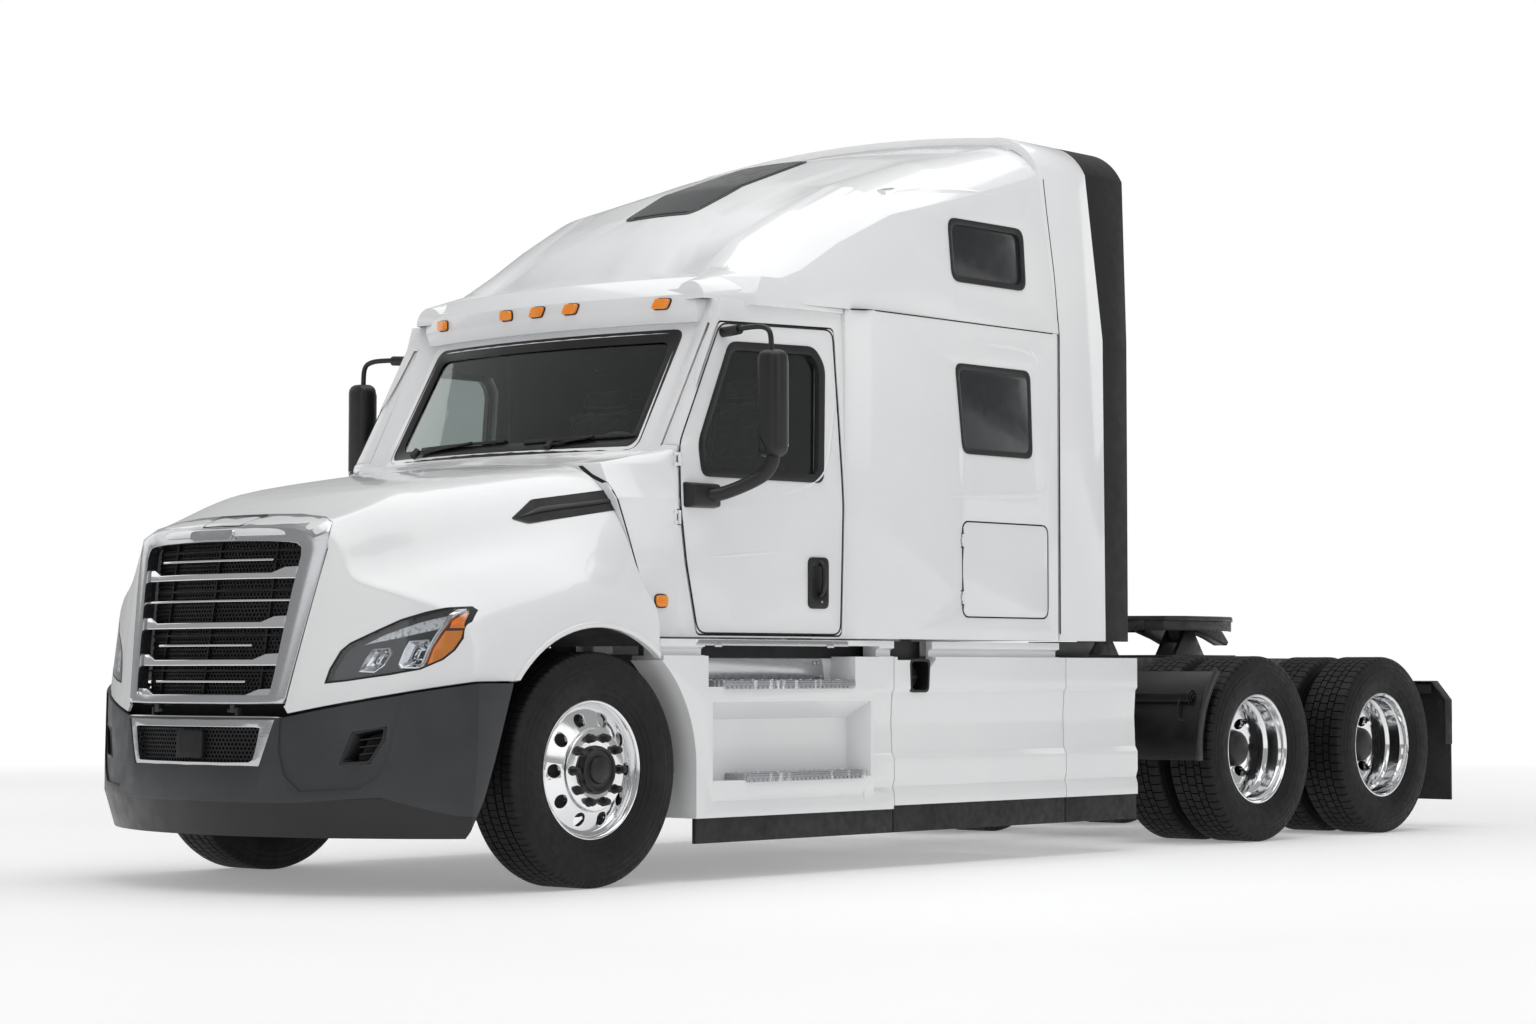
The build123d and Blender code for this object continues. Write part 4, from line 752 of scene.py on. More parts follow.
def hood_skin(form):
    """White moulded skin of the hood with its fenders and openings."""
    skin = copied(form)
    modified(skin, "SOLIDIFY", thickness=0.014, offset=-1)
    cut(skin, plate([(x, along(-0.2), z) for x, z in HOOD_FLOOR], (0, 2.6, 0)),
        plate([(-1.4, along(s), z) for s, z in HOOD_SEAM], (2.8, 0, 0)),
        arch_drum(0.612, 0.4, 1.4), arch_drum(0.612, -1.4, -0.4),
        plate([(x, along(-0.2), z) for x, z in GRILLE_OUTER], (0, 0.75, 0)),
        plate([(x, along(-0.2), z) for x, z in HEADLAMP], (0, 1.4, 0)),
        plate([(x, along(-0.2), z) for x, z in mirrored_outline(HEADLAMP)],
              (0, 1.4, 0)))
    only(skin)
    bpy.ops.object.shade_smooth_by_angle(angle=math.radians(32))
    fitted(skin, "hood_skin", PAINT, "hood")
    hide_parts("hood")
    return skin


# ---------------------------------------------------------------- nose surface and bent pieces
NOSE_LINE = through([Vector((z, front)) for z, front in NOSE_ROWS], 5)


def nose_front(x, z):
    """Y of the curved, leaning nose at a place seen from the front."""
    front = NOSE_LINE[0].y
    for low, high in zip(NOSE_LINE, NOSE_LINE[1:]):
        if low.x <= z <= high.x:
            front = low.y + (high.y - low.y) * (z - low.x) / (high.x - low.x)
    reach = min(abs(x), 1.55)
    return along(front + NOSE_RADIUS - math.sqrt(NOSE_RADIUS ** 2 - reach * reach))


def sliced(piece, axis, stops):
    """Cuts a piece through at places along an axis, so that it can bend."""
    normal = [0.0, 0.0, 0.0]
    normal[axis] = 1.0
    for stop in stops:
        point = [0.0, 0.0, 0.0]
        point[axis] = stop
        only(piece)
        bpy.ops.object.mode_set(mode="EDIT")
        bpy.ops.mesh.select_all(action="SELECT")
        bpy.ops.mesh.bisect(plane_co=point, plane_no=normal)
        leave()
    return piece


def bent_to_nose(piece):
    """Carries a piece modelled flat at Y = 0 onto the nose, its depth kept."""
    for corner in piece.data.vertices:
        corner.co.y += nose_front(corner.co.x, corner.co.z)
    return piece


def flat_plate(outline, front, back):
    """Plate from (x, z) points between two depths, for bending onto the nose."""
    return plate([(x, front, z) for x, z in outline], (0, back - front, 0))


def nose_plate(outline, front, back, width=0.07):
    """Plate of the nose's own curve."""
    piece = flat_plate(outline, front, back)
    reach = [x for x, _ in outline]
    stops = [min(reach) + width * step
             for step in range(1, int((max(reach) - min(reach)) / width) + 1)]
    return bent_to_nose(sliced(piece, 0, stops))


def woven(rows, closed=True):
    """Skin over rows of points, each row closed on itself unless told otherwise."""
    if closed:
        rows = [[*row, row[0]] for row in rows]
    count = len(rows[0])
    piece = started("grid", x_subdivisions=count - 1, y_subdivisions=len(rows) - 1)
    for index, corner in enumerate(piece.data.vertices):
        corner.co = rows[index // count][index % count]
    return tidy_mesh(piece)


def whole(half):
    """Outline of (x, z) points on both sides from its right half, top middle to bottom middle."""
    return list(half) + [(-x, z) for x, z in reversed(half) if x > 0.0001]


# ---------------------------------------------------------------- grille
def grille_surround():
    """Satin frame: a front face, a bevel that falls back to the hood, and an inner lip."""
    outer = whole(((0, 1.607), (0.17, 1.606), (0.34, 1.602), (0.5, 1.585), (0.575, 1.56),
                   (0.612, 1.515), (0.620, 1.452), (0.590, 1.27), (0.560, 1.09), (0.531, 0.92),
                   (0.515, 0.82), (0.505, 0.796), (0.34, 0.793), (0.17, 0.793), (0, 0.793)))
    edge = whole(((0, 1.546), (0.17, 1.545), (0.34, 1.541), (0.46, 1.530), (0.52, 1.515),
                  (0.556, 1.488), (0.571, 1.443), (0.545, 1.27), (0.518, 1.09), (0.491, 0.92),
                  (0.474, 0.82), (0.468, 0.800), (0.34, 0.798), (0.17, 0.798), (0, 0.798)))
    inner = whole(((0, 1.483), (0.17, 1.482), (0.34, 1.479), (0.44, 1.474), (0.482, 1.468),
                   (0.505, 1.452), (0.510, 1.42), (0.490, 1.27), (0.470, 1.09), (0.452, 0.92),
                   (0.441, 0.845), (0.434, 0.832), (0.34, 0.830), (0.17, 0.830), (0, 0.830)))
    rows = []
    for outline, depth in ((outer, 0.012), (outer, -0.004), (edge, -0.009), (inner, -0.006),
                           (inner, 0.055), (edge, 0.03), (outer, 0.012)):
        rows.append([Vector((x, depth + nose_front(x, z), z)) for x, z in outline])
    ring = woven(rows)
    softened(ring, 0.003, 25)
    return fitted(ring, "grille_surround", SATIN_TRIM, "hood")


def grille_bar(z, thin_reach=None):
    """Bar across the grille: a full one steps up at both ends, a thin one is a short strip."""
    inner = 0.441 + (z - 0.83) * 0.118
    if thin_reach:
        reach = min(thin_reach, inner + 0.004)
        outline = ((-reach, z - 0.0045), (reach, z - 0.0045), (reach, z + 0.0045),
                   (-reach, z + 0.0045))
        bar = nose_plate(outline, 0.010, 0.04)
        return softened(bar, 0.002)
    reach = inner + 0.006
    step = inner - 0.058
    outline = ((-reach, z - 0.014), (reach, z - 0.014), (reach, z + 0.040),
               (step - 0.01, z + 0.037), (step - 0.075, z + 0.013),
               (-step + 0.075, z + 0.013), (-step + 0.01, z + 0.037),
               (-reach, z + 0.040))
    bar = nose_plate(outline, 0.006, 0.055)
    return softened(bar, 0.005, segments=3)


def honeycomb(width, height, cell, thickness):
    """Flat sheet of open hexagonal cells, centred, in the XZ plane."""
    columns, rows = int(width / (cell * 0.866)) + 1, int(height / (cell * 0.75)) + 1
    corners, faces = [], []
    for row in range(rows):
        for column in range(columns):
            middle_x = (column - columns / 2 + 0.5 * (row % 2)) * cell * 0.866
            middle_z = (row - rows / 2) * cell * 0.75
            for turn in range(6):
                angle = math.radians(60 * turn + 30)
                corners.append((middle_x + cell / 2 * math.cos(angle), 0,
                                middle_z + cell / 2 * math.sin(angle)))
            faces.append(tuple(range(len(corners) - 6, len(corners))))
    data = bpy.data.meshes.new("honeycomb")
    data.from_pydata(corners, [], faces)
    piece = bpy.data.objects.new("honeycomb", data)
    bpy.context.scene.collection.objects.link(piece)
    tidy_mesh(piece, 0.0005)
    faces_where(piece, lambda centre, normal: True)
    bpy.ops.mesh.inset(thickness=thickness, use_individual=True)
    bpy.ops.mesh.delete(type="FACE")
    leave()
    return piece


def trimmed_to(piece, outline):
    """Keeps only the part of a flat sheet inside an upright (x, z) outline."""
    for start, end in zip(outline, [*outline[1:], outline[0]]):
        normal = (end[1] - start[1], 0, start[0] - end[0])
        only(piece)
        bpy.ops.object.mode_set(mode="EDIT")
        bpy.ops.mesh.select_all(action="SELECT")
        bpy.ops.mesh.bisect(plane_co=(start[0], 0, start[1]), plane_no=normal, clear_outer=True)
        leave()
    return piece


def grille():
    """Whole grille with its mesh, bars, blank badge, hood slot and hinge lugs."""
    grille_surround()
    bars = [grille_bar(z) for z in (0.820, 0.968, 1.126, 1.334)]
    fitted(joined(bars), "grille_bars", CHROME, "hood")
    strips = [grille_bar(z, reach) for z, reach in ((0.888, 0.295), (1.041, 0.308), (1.230, 0.55),
                                                    (1.402, 0.365))]
    fitted(joined(strips), "grille_strips", CHROME, "hood")
    net = honeycomb(1.10, 0.70, 0.023, 0.0032)
    for corner in net.data.vertices:
        corner.co.z += 1.145
    trimmed_to(net, [(-0.455, 0.82), (0.455, 0.82), (0.530, 1.49), (-0.530, 1.49)])
    modified(net, "SOLIDIFY", thickness=0.010)
    for corner in net.data.vertices:
        corner.co.y += nose_front(corner.co.x, corner.co.z) + 0.075
    fitted(net, "grille_mesh", MATT_PLASTIC, "hood")
    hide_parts("grille")
    ribs = []
    for x in (-0.33, 0.0, 0.33):
        ribs.append(nose_plate(((x - 0.004, 0.83), (x + 0.004, 0.83), (x + 0.004, 1.48),
                                (x - 0.004, 1.48)), 0.06, 0.075))
    for z in (0.93, 1.08, 1.27, 1.44):
        ribs.append(nose_plate(((-0.47, z), (0.47, z), (0.47, z + 0.008), (-0.47, z + 0.008)),
                               0.062, 0.075))
    fitted(joined(ribs), "grille_ribs", MATT_PLASTIC, "hood")
    hood_slot = nose_plate(((-0.125, 1.553), (0.125, 1.553), (0.155, 1.604), (-0.155, 1.604)),
                           -0.010, 0.02)
    faces_where(hood_slot, lambda centre, normal: normal.y < -0.3)
    bpy.ops.mesh.inset(thickness=0.008, depth=-0.006)
    leave()
    softened(hood_slot, 0.002)
    fitted(hood_slot, "hood_slot", BLACK_PLASTIC, "hood")
    badge = nose_plate(rounded(((-0.14, 1.494), (0.14, 1.494), (0.14, 1.534),
                                (-0.14, 1.534)), 0.02),
                       -0.0115, 0.01)
    softened(badge, 0.003)
    fitted(badge, "blank_badge", SATIN_TRIM, "hood")
    lugs = []
    for side in (-1, 1):
        x = side * 0.25
        lug = plate([(x - 0.014, along(0.042), 0.757), (x + 0.014, along(0.042), 0.757),
                     (x + 0.014, along(0.066), 0.757), (x - 0.014, along(0.066), 0.757)],
                    (0, 0, 0.05))
        lugs.append(lug)
        lugs.append(tube([(x - 0.032, along(0.050), 0.765), (x + 0.032, along(0.050), 0.765)],
                         0.008, 24))
    fitted(softened(joined(lugs), 0.001), "hood_hinge_pins", FRAME_PAINT, "hood")


# ---------------------------------------------------------------- pieces laid on the hood
def laid(piece, form, axis, far):
    """Carries a piece modelled flat onto a form along an axis, seen from a far coordinate."""
    reach = BVHTree.FromObject(form, bpy.context.evaluated_depsgraph_get())
    direction = [0.0, 0.0, 0.0]
    direction[axis] = -math.copysign(1.0, far)
    for corner in piece.data.vertices:
        start = corner.co.copy()
        start[axis] = far
        spot = reach.ray_cast(start, Vector(direction))[0]
        if spot is None:
            start[axis] = form.bound_box[0][axis] / 2 + form.bound_box[6][axis] / 2
            spot = reach.find_nearest(start)[0]
        corner.co[axis] += spot[axis]
    return piece


def facets(piece, axis_one, axis_two, width):
    """Cuts a flat piece into a lattice so that it can follow a curved form."""
    for axis in (axis_one, axis_two):
        places = [corner.co[axis] for corner in piece.data.vertices]
        count = int((max(places) - min(places)) / width)
        sliced(piece, axis, [min(places) + width * (step + 0.5) for step in range(count)])
    return piece


def lamp_plate(outline, front, back, form, width=0.035):
    """Plate of a headlamp, following the hood's form."""
    return laid(facets(flat_plate(outline, front, back), 0, 2, width), form, 1, -6.0)


def lamp_ring(outer, inner, levels, form):
    """Ring between outlines at depths: levels are (share from outer to inner, depth)."""
    rows = []
    for share, depth in levels:
        rows.append([Vector((a[0] + (b[0] - a[0]) * share, depth, a[1] + (b[1] - a[1]) * share))
                     for a, b in zip(outer, inner)])
    return laid(woven(rows), form, 1, -6.0)


LAMP_STRIP = ((0.804, 1.038), (0.878, 1.082), (0.997, 1.134), (1.083, 1.161), (1.092, 1.156),
              (1.053, 1.104), (0.921, 1.067), (0.823, 1.044))
LAMP_BOWLS = (((0.798, 0.932), (0.816, 0.982), (0.839, 1.019), (0.892, 1.024), (0.900, 1.002),
               (0.881, 0.957), (0.849, 0.929)),
              ((0.936, 0.957), (0.951, 1.017), (0.965, 1.052), (1.020, 1.059), (1.035, 1.037),
               (1.021, 0.972), (1.008, 0.947), (0.943, 0.947)))
LAMP_AMBER = (((1.092, 1.110), (1.098, 1.140), (1.108, 1.175), (1.116, 1.172), (1.130, 1.137),
               (1.134, 1.110)),
              ((1.036, 0.960), (1.050, 1.027), (1.081, 1.098), (1.134, 1.100), (1.132, 1.045),
               (1.112, 1.012), (1.083, 0.983)))
LAMP_CURVE = ((1.098, 1.196), (1.090, 1.147), (1.061, 1.086), (1.038, 1.027), (1.020, 0.942))


def headlamp(form):
    """Both headlamps: rim, housing, two bowls, light strip, curve, amber lenses and cover."""
    inner = grown(HEADLAMP, -0.009)
    rim = lamp_ring(HEADLAMP, inner,
                    ((0, 0.02), (0, 0.0), (0.5, -0.003), (1, 0.002), (1, 0.03)), form)
    softened(rim, 0.001, 40)
    pair(rim, "headlamp_rim", MATT_PLASTIC, HOOD)
    housing = lamp_plate(inner, 0.028, 0.05, form)
    for bowl in LAMP_BOWLS:
        cut(housing, plate([(x, along(-0.2), z) for x, z in grown(bowl, -0.003)], (0, 1.5, 0)))
    pair(housing, "headlamp_housing", LAMP_BEZEL, HOOD)
    for number, bowl in enumerate(LAMP_BOWLS, 1):
        middle = tuple(sum(point[i] for point in bowl) / len(bowl) for i in (0, 1))
        bottom = [tuple(middle[i] + (point[i] - middle[i]) * 0.3 for i in (0, 1)) for point in bowl]
        dish = lamp_ring(grown(bowl, 0.004), bottom,
                         ((0, 0.030), (0, 0.018), (0.12, 0.017), (0.35, 0.04), (0.8, 0.065),
                          (1, 0.068)), form)
        only(dish)
        bpy.ops.object.shade_smooth_by_angle(angle=math.radians(12))
        pair(dish, f"headlamp_bowl_{number}", CHROME, HOOD)
        lens = lamp_plate([tuple(middle[i] + (point[i] - middle[i]) * 0.42 for i in (0, 1))
                           for point in bowl], 0.045, 0.075, form)
        softened(lens, 0.004)
        pair(lens, f"headlamp_lens_{number}", LAMP_COVER, HOOD)
    strip = softened(lamp_plate(LAMP_STRIP, 0.012, 0.03, form), 0.002)
    pair(strip, "headlamp_strip", LAMP_WHITE, HOOD)
    for number, outline in enumerate(LAMP_AMBER, 1):
        amber = softened(lamp_plate(outline, 0.008, 0.03, form), 0.003)
        pair(amber, f"headlamp_amber_{number}", AMBER, HOOD)
    band = [(x - 0.008, z + 0.002) for x, z in LAMP_CURVE[::-1]]
    band += [(x + 0.004, z) for x, z in LAMP_CURVE]
    curve = softened(lamp_plate(band, 0.005, 0.03, form, 0.05), 0.002)
    pair(curve, "headlamp_curve", SATIN_TRIM, HOOD)
    cover = lamp_plate(inner, 0.0005, 0.0035, form)
    only(cover)
    bpy.ops.object.shade_smooth_by_angle(angle=math.radians(40))
    left = pair(cover, "headlamp_cover", LAMP_COVER, HOOD)[0]
    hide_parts("headlamps")


SIDE_VENT = ((1.066, 1.590), (1.212, 1.680), (1.655, 1.742), (1.668, 1.652), (1.142, 1.570))


def side_vent(form):
    """Black air outlet on the hood's side, with a frame and a slanted blade."""
    outer = rounded(SIDE_VENT, 0.012, 2)
    inner = [tuple(Vector(point) + (Vector((1.40, 1.655)) - Vector(point)).normalized() * 0.018)
             for point in outer]
    rows = []
    for outline, depth in ((outer, -0.004), (outer, 0.004), (inner, 0.001), (inner, -0.03)):
        rows.append([Vector((depth, along(s), z)) for s, z in outline])
    frame_ring = laid(woven(rows), form, 0, 2.0)
    softened(frame_ring, 0.0015, 30)
    pair(frame_ring, "vent_frame", BLACK_PLASTIC, HOOD)
    back = laid(facets(plate([(-0.02, along(s), z) for s, z in outer], (0.021, 0, 0)), 1, 2, 0.05),
                form, 0, 2.0)
    pair(back, "vent_back", MATT_PLASTIC, HOOD)
    blade = plate([(-0.01, along(s), z) for s, z in
                   ((1.115, 1.600), (1.235, 1.648), (1.655, 1.702),
                    (1.657, 1.686), (1.245, 1.628))], (0.016, 0, 0))
    laid(facets(blade, 1, 2, 0.06), form, 0, 2.0)
    softened(blade, 0.002, 30)
    pair(blade, "vent_blade", BLACK_PLASTIC, HOOD)


def arch_lip():
    """Rolled lip round the front wheel arch on the hood's fender."""
    rows = []
    for step in range(49):
        turn = math.radians(20 + 140 * step / 48)
        ring = []
        for x, radius in ((1.170, 0.613), (1.203, 0.613), (1.2075, 0.617), (1.2075, 0.632),
                          (1.203, 0.637), (1.170, 0.637)):
            ring.append(Vector((x, along(STEER_AXLE) - radius * math.cos(turn),
                                AXLE_HEIGHT + radius * math.sin(turn))))
        rows.append(ring)
    lip = woven(rows)
    cut(lip, plate([(1.0, along(s), z) for s, z in HOOD_SEAM], (0.4, 0, 0)),
        plate([(x, along(-0.2), z) for x, z in HOOD_FLOOR], (0, 1.2, 0)))
    softened(lip, 0.001, 40)
    pair(lip, "arch_lip", PAINT, HOOD)


# ---------------------------------------------------------------- front bumper
LIP_LINE = ((0.0, 0.386), (0.30, 0.384), (0.579, 0.386), (0.790, 0.404), (0.910, 0.412),
            (1.063, 0.360), (1.144, 0.335), (1.240, 0.330))
CHEEK = ((0.505, 0.80), (0.500, 0.60), (0.527, 0.498), (0.596, 0.432), (0.834, 0.446),
         (0.907, 0.500), (0.936, 0.568), (0.992, 0.86))
FOG_POCKET = ((0.752, 0.547), (0.800, 0.680), (0.926, 0.704), (0.920, 0.645), (0.868, 0.550))
LIP_PRISM = [*LIP_LINE, (1.4, 0.1), (-1.4, 0.1), *[(-x, z) for x, z in LIP_LINE[:0:-1]]]


BUMPER_ROWS = ((0.240, 0.058, 1.165), (0.400, 0.0, 1.205), (0.560, 0.0, 1.214),
               (0.900, 0.008, 1.214))
BUMPER_LID = ((-1.300, 1.000), (-1.230, 0.884), (-0.508, 0.738), (0.508, 0.738),
              (1.230, 0.884), (1.300, 1.000))
BUMPER_SIDES = ((0.755, 0.900), (0.535, 0.240), (0.535, 0.100), (1.400, 0.100), (1.400, 0.900))
GRILLE_GAP = ((-0.410, 0.535), (0.410, 0.535), (0.480, 0.730), (-0.480, 0.730))


def bumper_solid(inset):
    """Closed form of the bumper's plan, or with an inset of the hollow behind its skin."""
    rows = []
    for z, front, side in BUMPER_ROWS:
        half = side - inset
        if inset:
            z = {0.240: 0.200, 0.900: 0.940}.get(z, z)
        ring = [Vector((x, along(front + inset + NOSE_RADIUS - math.sqrt(NOSE_RADIUS ** 2 - x * x)),
                        z)) for x in [-half + 2 * half * step / 48 for step in range(49)]]
        rows.append([*ring, Vector((half, along(0.765), z)), Vector((-half, along(0.765), z))])
    return filled(woven(rows))


def bumper_pieces(wall):
    """Dark grey bumper with stepped cheeks and a separate black lower lip."""
    skin = cut(bumper_solid(0), bumper_solid(0.030), front_plate(BUMPER_LID, -0.2, 1.2),
               side_plate(BUMPER_SIDES, -1.4, 2.8))
    lip = copied(skin)
    prism = plate([(x, along(-0.2), z) for x, z in LIP_PRISM], (0, 1.3, 0))
    cut(skin, copied(prism))
    cut(lip, prism, keep=True)
    cut(skin, front_plate(GRILLE_GAP, -0.2, 0.5), front_plate(FOG_POCKET, -0.2, 0.7),
        front_plate(mirrored_outline(FOG_POCKET), -0.2, 0.7))
    for cheek in (CHEEK, mirrored_outline(CHEEK)):
        pocket = plate([(x, -0.05, z) for x, z in cheek], (0, 0.06, 0))
        laid(facets(pocket, 0, 2, 0.08), wall, 1, -6.0)
        cut(skin, tidy_mesh(pocket))
    softened(skin, 0.006, 28, 3)
    fitted(skin, "bumper_skin", BUMPER_PLASTIC, "chassis")
    softened(lip, 0.006, 28, 3)
    fitted(lip, "bumper_lip", BLACK_PLASTIC, "chassis")
    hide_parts("front_bumper")
    carrier = [box((-0.70, 0.70), (0.285, 0.332), (0.430, 0.510))]
    for side in (-1, 1):
        carrier += [box((side * 0.60, side * 0.67), (0.175, 0.300), (0.430, 0.510)),
                    box((side * 0.35, side * 0.43), (0.290, 0.332), (0.500, 0.900)),
                    box((side * 0.269, side * 0.283), (0.040, 0.075), (0.714, 0.779))]
    fitted(softened(joined(carrier), 0.004, 30), "bumper_carrier", FRAME_PAINT, "chassis")


def front_wall():
    """Form with the bumper's curved front and no openings, to lay pieces on."""
    rows = []
    for z, front in ((0.24, 0.058), (0.40, 0.0), (0.56, 0.0), (0.90, 0.008)):
        ring = []
        for step in range(41):
            x = -1.214 + 2.428 * step / 40
            sweep = NOSE_RADIUS - math.sqrt(NOSE_RADIUS ** 2 - x * x)
            ring.append(Vector((x, along(front + sweep), z)))
        rows.append(ring)
    return woven(rows, closed=False)


def bumper_grille(wall):
    """Satin U-frame, black mesh and blank sensor plate in the bumper's middle."""
    outer = whole(((0, 0.744), (0.25, 0.744), (0.44, 0.744), (0.494, 0.742), (0.484, 0.67),
                   (0.462, 0.600), (0.440, 0.555), (0.405, 0.532), (0.22, 0.530), (0, 0.530)))
    inner = whole(((0, 0.697), (0.25, 0.697), (0.38, 0.697), (0.409, 0.694), (0.398, 0.64),
                   (0.386, 0.590), (0.376, 0.562), (0.358, 0.552), (0.22, 0.550), (0, 0.550)))
    rows = []
    for outline, depth in ((outer, 0.03), (outer, 0.004), (inner, 0.0005), (inner, 0.045)):
        rows.append([Vector((x, depth, z)) for x, z in outline])
    ring = softened(laid(woven(rows), wall, 1, -6.0), 0.004, 25)
    fitted(ring, "bumper_grille_frame", SATIN_TRIM, "chassis")
    net = honeycomb(0.86, 0.20, 0.023, 0.0032)
    for corner in net.data.vertices:
        corner.co.z += 0.625
    trimmed_to(net, [(-0.375, 0.53), (0.375, 0.53), (0.42, 0.71), (-0.42, 0.71)])
    modified(net, "SOLIDIFY", thickness=0.008)
    for corner in net.data.vertices:
        corner.co.y += 0.035
    laid(net, wall, 1, -6.0)
    fitted(net, "bumper_grille_mesh", MATT_PLASTIC, "chassis")
    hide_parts("lower_grille")
    back = laid(facets(flat_plate(((-0.42, 0.52), (0.42, 0.52), (0.46, 0.715), (-0.46, 0.715)),
                                  0.075, 0.08), 0, 2, 0.08), wall, 1, -6.0)
    fitted(back, "bumper_grille_back", MATT_PLASTIC, "chassis")
    sensor = laid(facets(flat_plate(rounded(((-0.085, 0.566), (0.085, 0.566), (0.085, 0.682),
                                             (-0.085, 0.682)), 0.008, 2), 0.012, 0.04), 0, 2, 0.06),
                  wall, 1, -6.0)
    softened(sensor, 0.002)
    fitted(sensor, "blank_sensor_plate", MATT_PLASTIC, "chassis")


def fog_pocket(wall):
    """Deep black pocket in the bumper's cheek, with a sill and three fins."""
    outer = rounded(FOG_POCKET, 0.012, 2)
    centre = Vector((0.85, 0.63))
    inner = [tuple(Vector(p) + (centre - Vector(p)).normalized() * 0.012) for p in outer]
    deep = [tuple(Vector(p) + (centre - Vector(p)).normalized() * 0.022) for p in outer]
    rows = [[Vector((x, depth, z)) for x, z in outline]
            for outline, depth in ((outer, 0.03), (outer, 0.008), (inner, 0.006), (deep, 0.095))]
    pocket = softened(laid(woven(rows), wall, 1, -6.0), 0.002, 30)
    pair(pocket, "fog_pocket_rim", BLACK_PLASTIC, CHASSIS)
    back = laid(facets(flat_plate(inner, 0.09, 0.10), 0, 2, 0.06), wall, 1, -6.0)
    pair(back, "fog_pocket_back", MATT_PLASTIC, CHASSIS)
    fins = [laid(facets(flat_plate(((0.815, z), (0.905, z + 0.012), (0.905, z + 0.017),
                                    (0.815, z + 0.005)), 0.03, 0.09), 0, 2, 0.05), wall, 1, -6.0)
            for z in (0.585, 0.615, 0.645)]
    pair(softened(joined(fins), 0.001), "fog_pocket_fins", BLACK_PLASTIC, CHASSIS)


# ---------------------------------------------------------------- cab trim
WINDSHIELD = ((-0.812, 1.950), (-0.800, 2.492), (0.800, 2.492), (0.812, 1.950))
DOOR_WINDOW = ((2.050, 1.815), (2.035, 1.960), (2.275, 2.435), (2.800, 2.445), (2.862, 2.360),
               (2.832, 1.815))
SLEEPER_WINDOW = ((3.805, 2.000), (3.745, 2.430), (4.345, 2.430), (4.365, 2.000))
ROOF_WINDOW = ((3.725, 2.840), (3.690, 3.140), (4.290, 3.140), (4.315, 2.840))


def windshield_seal():
    """Wide black rubber and printed border round the windshield."""
    outer = rounded(grown(WINDSHIELD, 0.018), 0.055, 5)
    inner = rounded(grown(WINDSHIELD, -0.042), 0.05, 5)
    dense_outer, dense_inner = thickened(outer, 0.12), thickened_pairs(outer, inner, 0.12)
    rows = [[Vector((x, depth, z)) for x, z in outline]
            for outline, depth in ((dense_outer, -0.014), (dense_outer, -0.024),
                                   (dense_inner, -0.008), (dense_inner, -0.001))]
    form = glass_form()
    seal = laid(woven(rows), form, 1, -6.0)
    bpy.data.objects.remove(form)
    softened(seal, 0.003, 30)
    fitted(seal, "windshield_seal", BLACK_PLASTIC, "chassis")


def thickened(outline, gap):
    """The same outline with points added on its long sides."""
    points = []
    for start, end in zip(outline, [*outline[1:], outline[0]]):
        a, b = Vector(start), Vector(end)
        count = max(1, int((b - a).length / gap))
        points += [tuple(a.lerp(b, step / count)) for step in range(count)]
    return points


def thickened_pairs(outer, inner, gap):
    """Inner outline with as many points between its corners as the outer one gets."""
    points = []
    for index, start in enumerate(outer):
        a, b = Vector(start), Vector(outer[(index + 1) % len(outer)])
        count = max(1, int((b - a).length / gap))
        c, d = Vector(inner[index]), Vector(inner[(index + 1) % len(inner)])
        points += [tuple(c.lerp(d, step / count)) for step in range(count)]
    return points


def glass_form():
    """Curved plane of the windshield, wider than the glass, to lay its seal and wipers on."""
    rows = []
    for z, nose, edge in ((1.80, 1.571, 1.712), (1.925, 1.790, 1.928), (2.53, 2.170, 2.278),
                          (2.64, 2.210, 2.300)):
        ring = []
        for step in range(31):
            x = -0.95 + 1.9 * step / 30
            share = (x / 0.875) ** 2
            ring.append(Vector((x, along(nose + (edge - nose) * share), z)))
        rows.append(ring)
    return woven(rows, closed=False)


def window_seal(name, outline, node, body_pair, width=0.024, axis_x=2.2, radius=0.05):
    """Black rubber round a side window, on the panel that holds it."""
    outer = rounded(grown(outline, 0.006), radius, 4)
    inner = rounded(grown(outline, 0.006 - width), radius * 0.8, 4)
    outer, inner = thickened(outer, 0.15), thickened_pairs(outer, inner, 0.15)
    rows = [[Vector((depth, along(s), z)) for s, z in line]
            for line, depth in ((outer, -0.004), (outer, 0.004), (inner, 0.001), (inner, -0.030))]
    seal = woven(rows)
    laid_on_wall(seal, node, axis_x)
    softened(seal, 0.002, 30)
    pair(seal, name, BLACK_PLASTIC, body_pair)


def laid_on_wall(piece, node, far):
    """Carries a piece modelled at X = 0 onto the node's outer wall round it."""
    wall = frame["nodes"][node]
    reach = BVHTree.FromObject(wall, bpy.context.evaluated_depsgraph_get())
    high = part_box(node)[1]
    spots = {}
    for corner in piece.data.vertices:
        y, z = corner.co.y, corner.co.z
        key = (round(y, 4), round(z, 4))
        if key not in spots:
            spot = reach.ray_cast(Vector((far, y, z)), Vector((-1, 0, 0)))[0]
            if spot is None or spot.x < high.x - 0.16:
                spot = nearest_wall(reach, far, y, z, high.x)
            spots[key] = spot.x
        corner.co.x += spots[key]
    return piece


def nearest_wall(reach, far, y, z, top):
    """Outer wall beside an opening, looked for in a small ring round the place."""
    best = None
    for radius in (0.03, 0.06, 0.1):
        for turn in range(8):
            angle = math.pi / 4 * turn
            spot = reach.ray_cast(Vector((far, y + radius * math.cos(angle),
                                          z + radius * math.sin(angle))), Vector((-1, 0, 0)))[0]
            if spot is not None and spot.x > top - 0.16 and (best is None or spot.x > best.x):
                best = spot
        if best is not None:
            return best
    return Vector((top, y, z))


